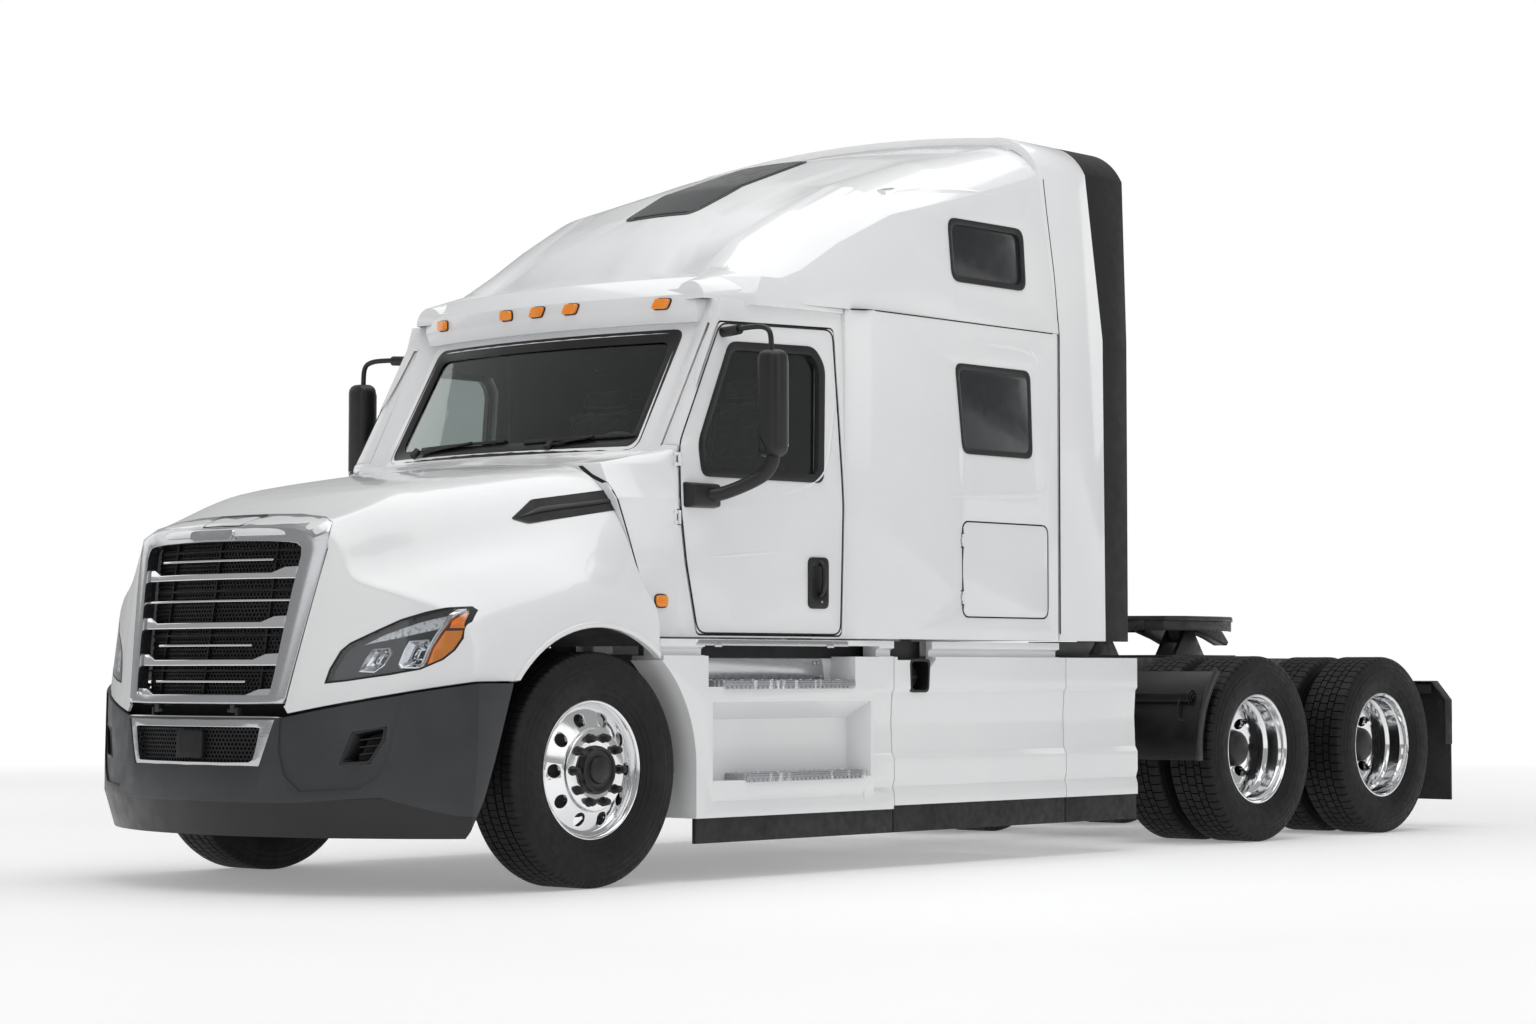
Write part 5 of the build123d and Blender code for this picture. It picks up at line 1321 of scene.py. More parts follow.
def wiper(hub_x, tip_x, name):
    """Wiper arm and blade parked along the windshield's foot."""
    form = glass_form()
    lean = 1 if tip_x > hub_x else -1
    arm = flat_plate([(hub_x, 1.968), (hub_x + lean * 0.02, 1.980), (tip_x - lean * 0.22, 2.012),
                      (tip_x - lean * 0.22, 2.000)][::lean], -0.030, -0.018)
    blade = flat_plate([(tip_x - lean * 0.62, 1.985), (tip_x, 1.998), (tip_x, 2.012),
                        (tip_x - lean * 0.62, 2.003)][::lean], -0.020, -0.004)
    stops = [hub_x + (tip_x - hub_x) * k / 6 for k in range(1, 6)]
    rest = joined([tidy_mesh(sliced(part, 0, stops)) for part in (arm, blade)])
    laid(rest, form, 1, -6.0)
    bpy.data.objects.remove(form)
    boss = tube([(hub_x, along(1.80), 1.955), (hub_x, along(1.83), 1.985)], 0.018, 16)
    softened(rest, 0.002)
    fitted(joined([rest, boss]), name, MATT_PLASTIC, "chassis")


def marker_lamp(x, z, number):
    """Amber roof marker in a thin dark seat on the visor's brow."""
    form = frame["nodes"]["roof_visor"]
    lean = 0.006 * (1 if x >= 0 else -1)
    outline = rounded(((x - 0.038 - lean, z - 0.024), (x + 0.034 - lean, z - 0.024),
                       (x + 0.040 + lean, z + 0.020), (x - 0.030 + lean, z + 0.024)), 0.012, 3)
    seat = laid(facets(flat_plate(grown(outline, 0.005), -0.006, 0.02), 0, 2, 0.03), form, 1, -6.0)
    softened(seat, 0.002)
    fitted(seat, f"marker_seat_{number}", BLACK_PLASTIC, "chassis")
    lens = laid(facets(flat_plate(outline, -0.026, 0.0), 0, 2, 0.03), form, 1, -6.0)
    softened(lens, 0.007, 30, 3)
    fitted(lens, f"marker_lamp_{number}", AMBER, "chassis")


def door_handle():
    """Black handle plate with a recess, an upright grip and a lock button."""
    seat_outline = rounded(((2.728, 1.222), (2.728, 1.462), (2.862, 1.462), (2.862, 1.222)),
                           0.03, 4)
    inner = rounded(((2.748, 1.268), (2.748, 1.420), (2.842, 1.420), (2.842, 1.268)), 0.022, 4)
    rows = [[Vector((depth, along(s), z)) for s, z in outline]
            for outline, depth in ((seat_outline, -0.01), (seat_outline, 0.010), (inner, 0.010),
                                   (inner, 0.0025))]
    seat = woven(rows)
    faces_where(seat, lambda centre, normal: False)
    bpy.ops.mesh.select_mode(type="EDGE")
    bpy.ops.mesh.select_non_manifold()
    bpy.ops.mesh.edge_face_add()
    leave()
    tidy_mesh(seat)
    base = laid_on_wall(seat, "door_left", 2.2)
    softened(base, 0.003, 30)
    pair(base, "door_handle_seat", BLACK_PLASTIC, DOORS)
    grip = tube([(0.004, along(2.808), 1.285), (0.022, along(2.808), 1.300),
                 (0.030, along(2.808), 1.340), (0.030, along(2.808), 1.395),
                 (0.020, along(2.808), 1.425), (0.004, along(2.808), 1.440)], 0.011, 16)
    laid_on_wall(grip, "door_left", 2.2)
    button = tube([(0.004, along(2.808), 1.254), (0.016, along(2.808), 1.254)], 0.006, 16)
    laid_on_wall(button, "door_left", 2.2)
    pair(grip, "door_grip", BLACK_PLASTIC, DOORS)
    pair(button, "door_lock", SATIN_TRIM, DOORS)


def side_marker():
    """Oval amber marker lamp on the cowl, in a dark seat."""
    outline = [(1.779 + 0.036 * math.copysign(abs(math.cos(a)) ** 0.6, math.cos(a)),
                1.243 + 0.026 * math.copysign(abs(math.sin(a)) ** 0.6, math.sin(a)))
               for a in (math.tau * step / 24 for step in range(24))]
    lens = plate([(0.0, along(s), z) for s, z in outline], (0.012, 0, 0))
    seat = plate([(0.0, along(s), z) for s, z in grown(outline, 0.006)], (0.005, 0, 0))
    for piece, name, finish, slot in ((seat, "side_marker_seat", BLACK_PLASTIC, "black_plastic"),
                                      (lens, "side_marker_lens", AMBER, "lamp_glass")):
        laid_on_wall(piece, "cab_shell", 2.2)
        softened(piece, 0.002, 30)
        pair(piece, name, finish, CHASSIS)


def mirror_pieces():
    """Tall mirror head with rounded shoulders, its glass, thick lower arm and thin upper stay."""
    head = started("cube", size=1.0)
    for corner in head.data.vertices:
        corner.co = Vector((1.372 + corner.co.x * 0.132, along(2.211) + corner.co.y * 0.112,
                            2.134 + corner.co.z * 0.484))
    modified(head, "BEVEL", width=0.042, segments=6, limit_method="NONE")
    only(head)
    bpy.ops.object.shade_smooth_by_angle(angle=math.radians(40))
    faces_where(head, lambda centre, normal: normal.y > 0.98)
    bpy.ops.mesh.inset(thickness=0.010)
    bpy.ops.mesh.inset(thickness=0.002, depth=-0.006)
    leave()
    glass = plate([(1.372 + x, along(2.2645), 2.134 + z) for x, z in
                   rounded(((-0.046, -0.205), (0.046, -0.205), (0.046, 0.205), (-0.046, 0.205)),
                           0.02, 4)], (0, 0.002, 0))
    seam = tube([(1.306, along(2.16), 2.00), (1.34, along(2.153), 1.985),
                 (1.372, along(2.153), 1.94), (1.385, along(2.154), 1.90)], 0.0015, 8)
    foot = started("cube", size=1.0)
    for corner in foot.data.vertices:
        taper = 0.82 if corner.co.x > 0 else 1.0
        corner.co = Vector((1.105 + corner.co.x * 0.08, along(2.03) + corner.co.y * 0.22 * taper,
                            1.722 + corner.co.z * 0.122 * taper))
    modified(foot, "BEVEL", width=0.012, segments=3, limit_method="NONE")
    arm = tube([tuple(p) for p in through([Vector((1.11, along(2.05), 1.722)),
                                           Vector((1.19, along(2.10), 1.735)),
                                           Vector((1.32, along(2.18), 1.80)),
                                           Vector((1.368, along(2.208), 1.86)),
                                           Vector((1.372, along(2.211), 1.92))], 6)], 0.031, 20)
    stay = tube([tuple(p) for p in through([Vector((1.075, along(2.235), 2.480)),
                                            Vector((1.18, along(2.222), 2.487)),
                                            Vector((1.30, along(2.213), 2.485)),
                                            Vector((1.355, along(2.211), 2.455)),
                                            Vector((1.366, along(2.211), 2.36))], 5)], 0.0125, 16)
    boot = tube([(1.03, along(2.24), 2.478), (1.10, along(2.232), 2.480),
                 (1.16, along(2.225), 2.484)], 0.024, 20)
    left, right = pair(joined([head, foot, arm, stay, boot, seam]), "mirror_housing", BLACK_PLASTIC,
                       DOORS)
    for piece in (left, right):
        only(piece)
        bpy.ops.object.shade_smooth_by_angle(angle=math.radians(40))
    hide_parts("mirror_left")
    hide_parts("mirror_right")
    pair(glass, "mirror_glass", CHROME, DOORS)


# ---------------------------------------------------------------- tyres and wheels
# Outer half of a tyre's section from bead to shoulder: distance from its middle plane, radius.
SIDEWALL = ((0.117, 0.301), (0.1205, 0.309), (0.1235, 0.311), (0.1275, 0.326), (0.1305, 0.3275),
            (0.1375, 0.349), (0.1405, 0.3505), (0.1455, 0.380), (0.1470, 0.394), (0.1466, 0.408),
            (0.1446, 0.424), (0.1452, 0.4265), (0.1440, 0.432), (0.1425, 0.434), (0.1412, 0.448),
            (0.1415, 0.4505), (0.1400, 0.457), (0.1385, 0.459), (0.1372, 0.474))
SHOULDER = ((0.1350, 0.4845), (0.1305, 0.4965), (0.1225, 0.5045))
STEER_RIBS = ((0.1120, 0.0790), (0.0690, 0.0325), (0.0225, -0.0225), (-0.0325, -0.0690),
              (-0.0790, -0.1120))
DRIVE_RIBS = ((0.1120, 0.0710), (0.0630, 0.0300), (0.0225, -0.0225), (-0.0300, -0.0630),
              (-0.0710, -0.1120))


def spun(profile, station, steps=72, closed=True):
    """Solid turned round an axle from (x, radius) points."""
    rows = []
    for step in range(steps + 1):
        angle = 2 * math.pi * (step % steps) / steps
        rows.append([Vector((x, along(station) + radius * math.sin(angle),
                             AXLE_HEIGHT + radius * math.cos(angle))) for x, radius in profile])
    return woven(rows, closed)


def tyre(ribs, blocks, groove, sipe):
    """Tyre at the middle of the axle: ringed sidewalls, grooves round it and cuts across it."""
    half = [(x, radius, 0.0, 0.0) for x, radius in SIDEWALL]
    half += [(x, radius, sipe * share, 0.0)
             for (x, radius), share in zip(SHOULDER, (0.15, 0.6, 0.95))]
    section = list(half)
    for number, (outer, inner) in enumerate(ribs):
        if number:
            section.append((outer + 0.0015, AXLE_HEIGHT - groove, 0.0, 0.0))
        shift = 0.25 * (number % 2)
        section += [(outer, AXLE_HEIGHT - 0.0006, sipe, shift), (inner, AXLE_HEIGHT, sipe, shift)]
        if number < len(ribs) - 1:
            section.append((inner - 0.0015, AXLE_HEIGHT - groove, 0.0, 0.0))
    section += [(-x, radius, drop, shift) for x, radius, drop, shift in reversed(half)]
    section += [(-0.095, 0.299, 0.0, 0.0), (0.095, 0.299, 0.0, 0.0)]
    rows = []
    for step in range(blocks * 4 + 1):
        block, part = divmod(step % (blocks * 4), 4)
        sunk = 1.0 if part in (1, 2) else 0.0
        place = block + (0.0, 0.03, 0.10, 0.13)[part]
        row = []
        for x, radius, drop, shift in section:
            angle = 2 * math.pi * (place + shift) / blocks
            reach = radius - sunk * drop
            row.append(Vector((x, reach * math.sin(angle), AXLE_HEIGHT + reach * math.cos(angle))))
        rows.append(row)
    piece = woven(rows)
    only(piece)
    bpy.ops.object.shade_smooth_by_angle(angle=math.radians(32))
    return piece


def tyres_on(nodes_and_places, ribs, blocks, groove, sipe):
    """Puts copies of one tyre on their nodes; each node has a list of (x, station) places."""
    pattern = tyre(ribs, blocks, groove, sipe)
    for node, places in nodes_and_places:
        copies = [copied(pattern, (x, along(station), 0)) for x, station in places]
        piece = joined(copies) if len(copies) > 1 else copies[0]
        fitted(piece, node + "_tread", TYRE, body_name[node])
        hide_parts(node)
    bpy.data.objects.remove(pattern)


def round_the_axle(piece, station, count, first=0.0):
    """Copies of a piece turned round an axle, joined."""
    hub = Vector((0, along(station), AXLE_HEIGHT))
    copies = []
    for number in range(count):
        turn = (Matrix.Translation(hub)
                @ Matrix.Rotation(2 * math.pi * (number + first) / count, 4, "X")
                @ Matrix.Translation(-hub))
        copies.append(copied(piece, turn=turn))
    bpy.data.objects.remove(piece)
    return joined(copies)


def wheel_nut(x, station, radius, length, width=0.019):
    """Capped hexagon nut that points out along an axle, at a radius above it."""
    steps = ((0.0, 1.12, 24), (0.004, 1.12, 24), (0.006, 1.0, 6), (0.62 * length, 0.97, 6),
             (0.66 * length, 0.80, 24), (0.86 * length, 0.72, 24), (length, 0.45, 24))
    rows = []
    for out, share, corners in steps:
        ring = []
        for step in range(24):
            angle = 2 * math.pi * step / 24
            reach = width * share
            if corners == 6:
                beside = (angle + math.pi / 6) % (math.pi / 3) - math.pi / 6
                reach *= math.cos(math.pi / 6) / math.cos(beside)
            ring.append(Vector((x + out, along(station) + reach * math.sin(angle),
                                AXLE_HEIGHT + radius + reach * math.cos(angle))))
        rows.append(ring)
    rows.append([Vector((x + length, along(station), AXLE_HEIGHT + radius))] * 24)
    rows.insert(0, [Vector((x, along(station), AXLE_HEIGHT + radius))] * 24)
    piece = woven(rows)
    return softened(piece, 0.0008, 30, 1)


def wheel_trim(side_bodies, name, station, face, nut_length, hub):
    """Black nuts and hub over one wheel and its mirror image."""
    nuts = round_the_axle(wheel_nut(face, station, 0.1429, nut_length), station, 10, 0.5)
    pair(nuts, name + "_nuts", BLACK_PLASTIC, side_bodies)
    cap = softened(spun(hub, station, 48, False), 0.0015, 30)
    pair(cap, name + "_hub", BLACK_PLASTIC, side_bodies)


STEER_HUB = ((1.1805, 0), (1.1805, 0.104), (1.190, 0.104), (1.194, 0.1005), (1.2045, 0.099),
             (1.2065, 0.095), (1.2050, 0.088), (1.1950, 0.084), (1.1950, 0.060), (1.2080, 0.056),
             (1.2110, 0.050), (1.2115, 0))
DRIVE_HUB = ((0.929, 0), (0.929, 0.112), (0.946, 0.112), (0.952, 0.108), (0.956, 0.1025),
             (0.985, 0.1020), (0.988, 0.1060), (0.996, 0.1060), (0.999, 0.1010), (1.040, 0.0985),
             (1.062, 0.0930), (1.076, 0.0820), (1.0835, 0.062), (1.0860, 0.030), (1.0865, 0))


# ---------------------------------------------------------------- seats and bunk
def stuffed(piece, voxel, cap, held):
    """Lets the filling swell a cushion's cloth between the places where it is held."""
    modified(piece, "REMESH", mode="VOXEL", voxel_size=voxel, use_smooth_shade=True)
    modified(piece, "SMOOTH", factor=0.5, iterations=6)
    scene = bpy.context.scene
    start = [corner.co.copy() for corner in piece.data.vertices]
    pins = piece.vertex_groups.new(name="held")
    pins.add([index for index, place in enumerate(start) if held(place)], 1.0, "REPLACE")
    only(piece)
    skin = piece.modifiers.new("cloth", "CLOTH")
    skin.settings.use_pressure = True
    skin.settings.uniform_pressure_force = 4.0
    skin.settings.effector_weights.gravity = 0.0
    skin.settings.vertex_group_mass = "held"
    skin.settings.quality = 4
    skin.point_cache.frame_start = 1
    skin.point_cache.frame_end = 20
    for number in range(1, 21):
        scene.frame_set(number)
    bpy.ops.object.modifier_apply(modifier=skin.name)
    scene.frame_set(1)
    for corner, place in zip(piece.data.vertices, start):
        swell = corner.co - place
        if swell.length > cap:
            corner.co = place + swell.normalized() * cap
    piece.vertex_groups.clear()
    modified(piece, "SMOOTH", factor=0.5, iterations=2)
    return piece


def sewn(piece, lines, depth, width):
    """Sinks seams into a cushion along its normals; each line gives the distance to it."""
    for corner in piece.data.vertices:
        pull = sum(math.exp(-(line(corner.co) / width) ** 2) for line in lines)
        corner.co -= corner.normal * depth * min(1.0, pull)
    return piece


def seat_block(outline, half, middle=0.48):
    """Closed cushion blank from its (station, height) outline, with rounded edges."""
    blank = side_plate([(s, z) for s, z in outline], middle - half, 2 * half)
    return softened(blank, 0.035, 30, 4)


def seat_pieces():
    """Two driver's seats: sprung pedestal, cushion, back with headrest, and sewn bolsters."""
    lean = 0.11 / 0.66
    base = stuffed(seat_block(((2.415, 1.575), (2.405, 1.640), (2.430, 1.676), (2.900, 1.640),
                               (2.950, 1.600), (2.940, 1.575)), 0.240), 0.008, 0.016,
                   lambda place: place.z < 1.59)
    sewn(base, (lambda p: abs(p.x - 0.48) - 0.165, lambda p: p.y - along(2.56),
                lambda p: p.y - along(2.72)), 0.009, 0.007)
    back = stuffed(seat_block(((2.905, 1.665), (3.005, 2.235), (3.055, 2.255), (3.110, 2.235),
                               (3.040, 1.665)), 0.232), 0.008, 0.018,
                   lambda place: place.y > along(3.075 + lean * (place.z - 2.2)))
    sewn(back, (lambda p: abs(p.x - 0.48) - 0.155, lambda p: p.z - 1.82, lambda p: p.z - 1.97,
                lambda p: p.z - 2.11), 0.009, 0.007)
    rest = stuffed(seat_block(((3.010, 2.262), (3.030, 2.335), (3.060, 2.352), (3.120, 2.335),
                               (3.112, 2.262)), 0.135), 0.008, 0.010,
                   lambda place: place.z < 2.27)
    for piece, name, fill in ((base, "seat_cushion", 0.75), (back, "seat_back", 0.7),
                              (rest, "headrest", 0.85)):
        modified(piece, "SUBSURF", levels=1, render_levels=1)
        for part in pair(piece, name, SEAT_CLOTH, CHASSIS):
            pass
    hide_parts("seats")
    pan = softened(side_plate(((2.44, 1.530), (2.43, 1.572), (3.03, 1.572), (3.045, 1.665),
                               (3.062, 1.663), (3.052, 1.540), (2.98, 1.530)), 0.235, 0.49),
                   0.006, 30)
    post = softened(front_plate(((0.30, 1.146), (0.30, 1.19), (0.35, 1.21), (0.35, 1.49),
                                 (0.31, 1.531), (0.65, 1.531), (0.61, 1.49), (0.61, 1.21),
                                 (0.66, 1.19), (0.66, 1.146)), 2.53, 0.40), 0.01, 30)
    bellows = [softened(started("cube", size=1, location=(0.48, along(2.73), 1.245 + 0.05 * step),
                                scale=(0.31, 0.43, 0.026)), 0.012, 30, 3) for step in range(5)]
    rails = [tube([(0.48 + side * 0.2, along(2.46), 1.522), (0.48 + side * 0.2, along(3.0), 1.522)],
                  0.010) for side in (-1, 1)]
    stems = [tube([(0.48 + side * 0.06, along(3.045), 2.22),
                   (0.48 + side * 0.06, along(3.06), 2.30)], 0.006) for side in (-1, 1)]
    pair(joined([pan, post, *bellows, *rails, *stems]), "seat_pedestal", BLACK_PLASTIC, CHASSIS)


def bunk_pieces():
    """Mattress with quilted seams on a trimmed board."""
    low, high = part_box("bunk")
    mattress = started("cube", size=1, location=(0, (low.y + high.y) / 2, 1.620),
                       scale=(high.x - low.x - 0.06, high.y - low.y - 0.05, 0.135))
    mattress = stuffed(softened(mattress, 0.045, 30, 4), 0.020, 0.014,
                       lambda place: place.z < 1.565)
    sewn(mattress, (lambda p: abs(p.x) - 0.36, lambda p: abs(p.x) - 0.78,
                    lambda p: p.y - along(4.0), lambda p: p.y - along(4.28)), 0.010, 0.018)
    modified(mattress, "SUBSURF", levels=1, render_levels=1)
    fitted(mattress, "bunk_mattress", BUNK_CLOTH, "chassis")
    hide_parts("bunk")
    board = softened(started("cube", size=1, location=(0, (low.y + high.y) / 2, 1.520),
                             scale=(high.x - low.x, high.y - low.y, 0.04)), 0.008, 30)
    apron = softened(started("cube", size=1, location=(0, along(3.76), 1.33),
                             scale=(high.x - low.x - 0.12, 0.04, 0.34)), 0.008, 30)
    fitted(joined([board, apron]), "bunk_board", CABIN_PLASTIC, "chassis")


def dash_pieces():
    """Instrument hood, instrument panel and vents over the plain dashboard."""
    hood = softened(side_plate(((1.86, 1.842), (1.93, 1.905), (2.03, 1.925), (2.075, 1.905),
                                (2.06, 1.885), (1.99, 1.875), (1.98, 1.842)), 0.25, 0.46),
                    0.010, 30, 3)
    fitted(hood, "instrument_hood", DASH_PLASTIC, "chassis")
    panel = side_plate(((2.035, 1.862), (2.050, 1.905), (2.058, 1.903), (2.043, 1.860)), 0.28, 0.40)
    fitted(softened(panel, 0.002), "instrument_panel", BLACK_PLASTIC, "chassis")
    vents = []
    for x in (-0.80, -0.30, 0.05, 0.90):
        frame_ring = softened(side_plate(((2.185, 1.735), (2.165, 1.795), (2.180, 1.800),
                                          (2.200, 1.740)), x - 0.07, 0.14), 0.004, 30)
        vents.append(frame_ring)
    fitted(joined(vents), "dash_vents", BLACK_PLASTIC, "chassis")


# ---------------------------------------------------------------- steps, filler and side trim
def step_trim():
    """Kick plate, sill, a black sheet of painted shade in the gap over the upper step, and
    round-headed bolts.
    """
    kick = [(1.985, 0.888), (2.935, 0.888), (2.915, 0.990), (1.965, 0.990)]
    panel = softened(side_plate(rounded(kick, 0.012, 2), 1.061, 0.005), 0.0012, 30)
    bolts = []
    for s, z in ((2.005, 0.972), (2.885, 0.972), (2.905, 0.905), (2.02, 0.905), (2.86, 0.972)):
        bolts.append(softened(started("cylinder", vertices=16, radius=0.009, depth=0.008,
                                      location=(1.068, along(s), z),
                                      rotation=(0, math.pi / 2, 0)), 0.002, 30))
    pair(joined([panel, *bolts]), "kick_plate", SATIN_TRIM, CHASSIS)
    # Black sheet in the gap between the kick plate and the sill: painted shade, so that the gap
    # reads dark.
    gap = side_plate(((1.93, 0.992), (3.28, 0.992), (3.28, 1.052), (1.93, 1.052)), 1.0605, 0.004)
    pair(gap, "step_gap_painted_shade", MATT_PLASTIC, CHASSIS)
    sill = softened(side_plate(((1.895, 1.046), (2.962, 1.046), (2.955, 1.0735), (1.915, 1.0735)),
                               1.180, 0.0125), 0.004, 30, 3)
    pair(sill, "door_sill", SATIN_TRIM, CHASSIS)
    brackets = [softened(side_plate(((s, 1.040), (s + 0.05, 1.040), (s + 0.045, 1.066),
                                     (s + 0.006, 1.066)), 1.190, 0.006), 0.002)
                for s in (2.02, 2.80)]
    pair(joined(brackets), "sill_brackets", SATIN_TRIM, CHASSIS)


def tread_bars(inner, outer, front, rear, top):
    """Raised bars of a step's tread, crossed in pairs."""
    bars = []
    pitch = 0.034
    for row in range(int((outer - inner - 0.02) / pitch)):
        for column in range(int((rear - front - 0.02) / pitch)):
            bars.append((inner + 0.022 + pitch * row, front + 0.022 + pitch * column,
                         math.pi / 4 if (row + column) % 2 else -math.pi / 4))
    lozenge = started("circle", vertices=6, radius=0.012, fill_type="NGON",
                      location=(0, 0, top))
    for corner in lozenge.data.vertices:
        corner.co.y *= 0.34
    only(lozenge)
    bpy.ops.object.mode_set(mode="EDIT")
    bpy.ops.mesh.select_all(action="SELECT")
    bpy.ops.mesh.extrude_region_move(TRANSFORM_OT_translate={"value": (0, 0, 0.003)})
    bpy.ops.transform.resize(value=(0.7, 0.6, 1), center_override=(0, 0, top))
    bpy.ops.mesh.select_all(action="SELECT")
    bpy.ops.mesh.normals_make_consistent(inside=False)
    leave()
    copies = [copied(lozenge, (x, along(s), 0), Matrix.Rotation(turn, 4, "Z"))
              for x, s, turn in bars]
    bpy.data.objects.remove(lozenge)
    return joined(copies)


def step_treads():
    """Both treads on each side: plate with a folded nose, raised bars and a row of studs."""
    parts = []
    for inner, front, rear, low in ((1.060, 2.060, 2.975, 0.860), (1.085, 2.210, 3.060, 0.440)):
        top = low + 0.032
        deck = softened(side_plate(((front, low), (rear, low), (rear, top), (front, top)),
                                   inner, 1.216 - inner), 0.004, 30)
        nose = [softened(side_plate(((front + 0.006, low + z), (rear - 0.006, low + z),
                                     (rear - 0.006, low + z + 0.005),
                                     (front + 0.006, low + z + 0.005)), 1.2215, 0.0030), 0.001)
                for z in (0.004, 0.014, 0.024)]
        front_edge = rounded(((front, top - 0.040), (rear, top - 0.040), (rear, top),
                              (front, top)), 0.012, 3)
        strip = softened(side_plate(front_edge, 1.212, 0.0100), 0.002, 30)
        studs = [started("cylinder", vertices=8, radius=0.0065, depth=0.004,
                         location=(1.2230, along(front + 0.020 + 0.030 * number), top - 0.033),
                         rotation=(0, math.pi / 2, 0))
                 for number in range(int((rear - front - 0.02) / 0.030))]
        parts += [deck, strip, *nose, *studs, tread_bars(inner, 1.205, front, rear, top)]
    piece = joined(parts)
    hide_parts("access_steps")
    pair(piece, "step_treads", TREAD_PLATE, CHASSIS)


FILLER = ((3.300, 1.075), (3.300, 0.985), (3.400, 0.985), (3.400, 0.834), (3.540, 0.834),
          (3.540, 0.940), (3.593, 0.985), (3.593, 1.075))


def filler_pocket():
    """Black cup in the skirt with a rolled rim and the fuel cap inside it."""
    back = side_plate(FILLER, 1.101, 0.012)
    cup = rounded(((3.392, 0.992), (3.400, 0.830), (3.542, 0.830), (3.552, 0.992)), 0.030, 4)
    inner = rounded(grown(((3.392, 0.992), (3.400, 0.830), (3.542, 0.830), (3.552, 0.992)),
                          -0.013), 0.024, 4)
    rows = [[Vector((x, along(s), z)) for s, z in outline]
            for outline, x in ((cup, 1.18), (cup, 1.2135), (inner, 1.2135), (inner, 1.12))]
    rim = softened(woven(rows), 0.003, 30, 3)
    pair(joined([back, rim]), "filler_cup", BLACK_PLASTIC, CHASSIS)
    cap = softened(started("cylinder", vertices=40, radius=0.050, depth=0.045,
                           location=(1.135, along(3.470), 0.905), rotation=(0, math.pi / 2, 0)),
                   0.006, 30, 3)
    grip = softened(started("cube", size=1, location=(1.160, along(3.470), 0.905),
                            scale=(0.022, 0.078, 0.018)), 0.005, 30)
    pair(joined([cap, grip]), "fuel_cap", BLACK_PLASTIC, CHASSIS)


def rear_funnel():
    """Black shroud between the sleeper's rear corner and the skirt, tapered downwards."""
    top = ((0.98, 4.645), (1.176, 4.640), (1.176, 4.975), (0.98, 4.975))
    low = ((0.98, 4.655), (1.150, 4.650), (1.150, 4.940), (0.98, 4.940))
    rows = [[Vector((x, along(s), 1.002))] * 4 for x, s in ((1.06, 4.80),)]
    rows += [[Vector((x, along(s), 1.002)) for x, s in low],
             [Vector((x, along(s), 1.082)) for x, s in top],
             [Vector((1.06, along(4.80), 1.082))] * 4]
    shroud = softened(woven(rows), 0.008, 30, 3)
    pair(shroud, "rear_shroud", BLACK_PLASTIC, CHASSIS)


# ---------------------------------------------------------------- side skirts
CREASES = (((1.240, 0.870), (1.213, 0.850), (1.199, 0.830), (1.191, 0.700), (1.197, 0.545),
            (1.213, 0.515), (1.240, 0.500)),
           ((1.240, 0.440), (1.213, 0.425), (1.201, 0.385), (1.213, 0.345), (1.240, 0.330)))
VALANCE_HOLLOW = ((1.240, 1.003), (1.166, 1.003), (1.166, 1.030), (1.180, 1.040), (1.240, 1.044))
LEDGE_HOLLOW = ((1.240, 0.386), (1.2125, 0.380), (1.2025, 0.352), (1.2125, 0.316), (1.240, 0.312))
STEP_NICHE = ((1.085, 2.130, 3.075, 0.715), (1.216, 1.985, 3.100, 0.797))


def skirt_panels():
    """White side panels: step niches with sloped sides, drawn creases and a rolled valance."""
    piece = shaped_copy("side_skirts")
    for side in (-1, 1):
        for part in (box((side * 1.070, side * 1.212), (1.950, 3.200), (0.430, 0.800)),
                     box((side * 1.050, side * 1.212), (2.985, 3.200), (0.850, 1.000))):
            modified(piece, "BOOLEAN", operation="UNION", object=part, solver="EXACT")
            bpy.data.objects.remove(part)
        rows = []
        for x, front, rear, top in STEP_NICHE:
            rows.append([Vector((side * x, along(s), z)) for s, z in
                         ((front, 0.442), (rear, 0.442), (rear, top), (front, top))])
        tools = [filled(woven(rows))]
        tools += [front_plate([(side * x, z) for x, z in crease], front, 5.30 - front)
                  for crease, front in zip(CREASES, (3.120, 3.120))]
        tools += [front_plate([(side * x, z) for x, z in LEDGE_HOLLOW], 2.00, 1.05),
                  front_plate([(side * x, z) for x, z in VALANCE_HOLLOW], 1.50, 3.5),
                  box((side * 1.0, side * 1.3), (4.632, 5.0), (1.0005, 1.2))]
        cut(piece, *tools)
    softened(piece, 0.005, 24, 3)
    fitted(piece, "side_skirt_panels", PAINT, "chassis")
    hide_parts("side_skirts")


# ---------------------------------------------------------------- wheels
STEER_DISC = ((1.156, 0.104), (1.180, 0.104), (1.180, 0.170), (1.1785, 0.1745), (1.1740, 0.1775),
              (1.1660, 0.1785), (1.1620, 0.1815), (1.1320, 0.2620), (1.1260, 0.2710),
              (1.1160, 0.2770), (1.1180, 0.2795), (1.1400, 0.2815), (1.1500, 0.2850),
              (1.1570, 0.2900), (1.1600, 0.2960), (1.1590, 0.3000), (1.1540, 0.3005),
              (1.1480, 0.2900), (1.1400, 0.2872), (0.9500, 0.2872), (0.9420, 0.2900),
              (0.9340, 0.3000), (0.9300, 0.2990), (0.9300, 0.2830), (0.9420, 0.2730),
              (1.0900, 0.2720), (1.1080, 0.2640), (1.1200, 0.2520), (1.1460, 0.1820),
              (1.1500, 0.1700), (1.1560, 0.1600))
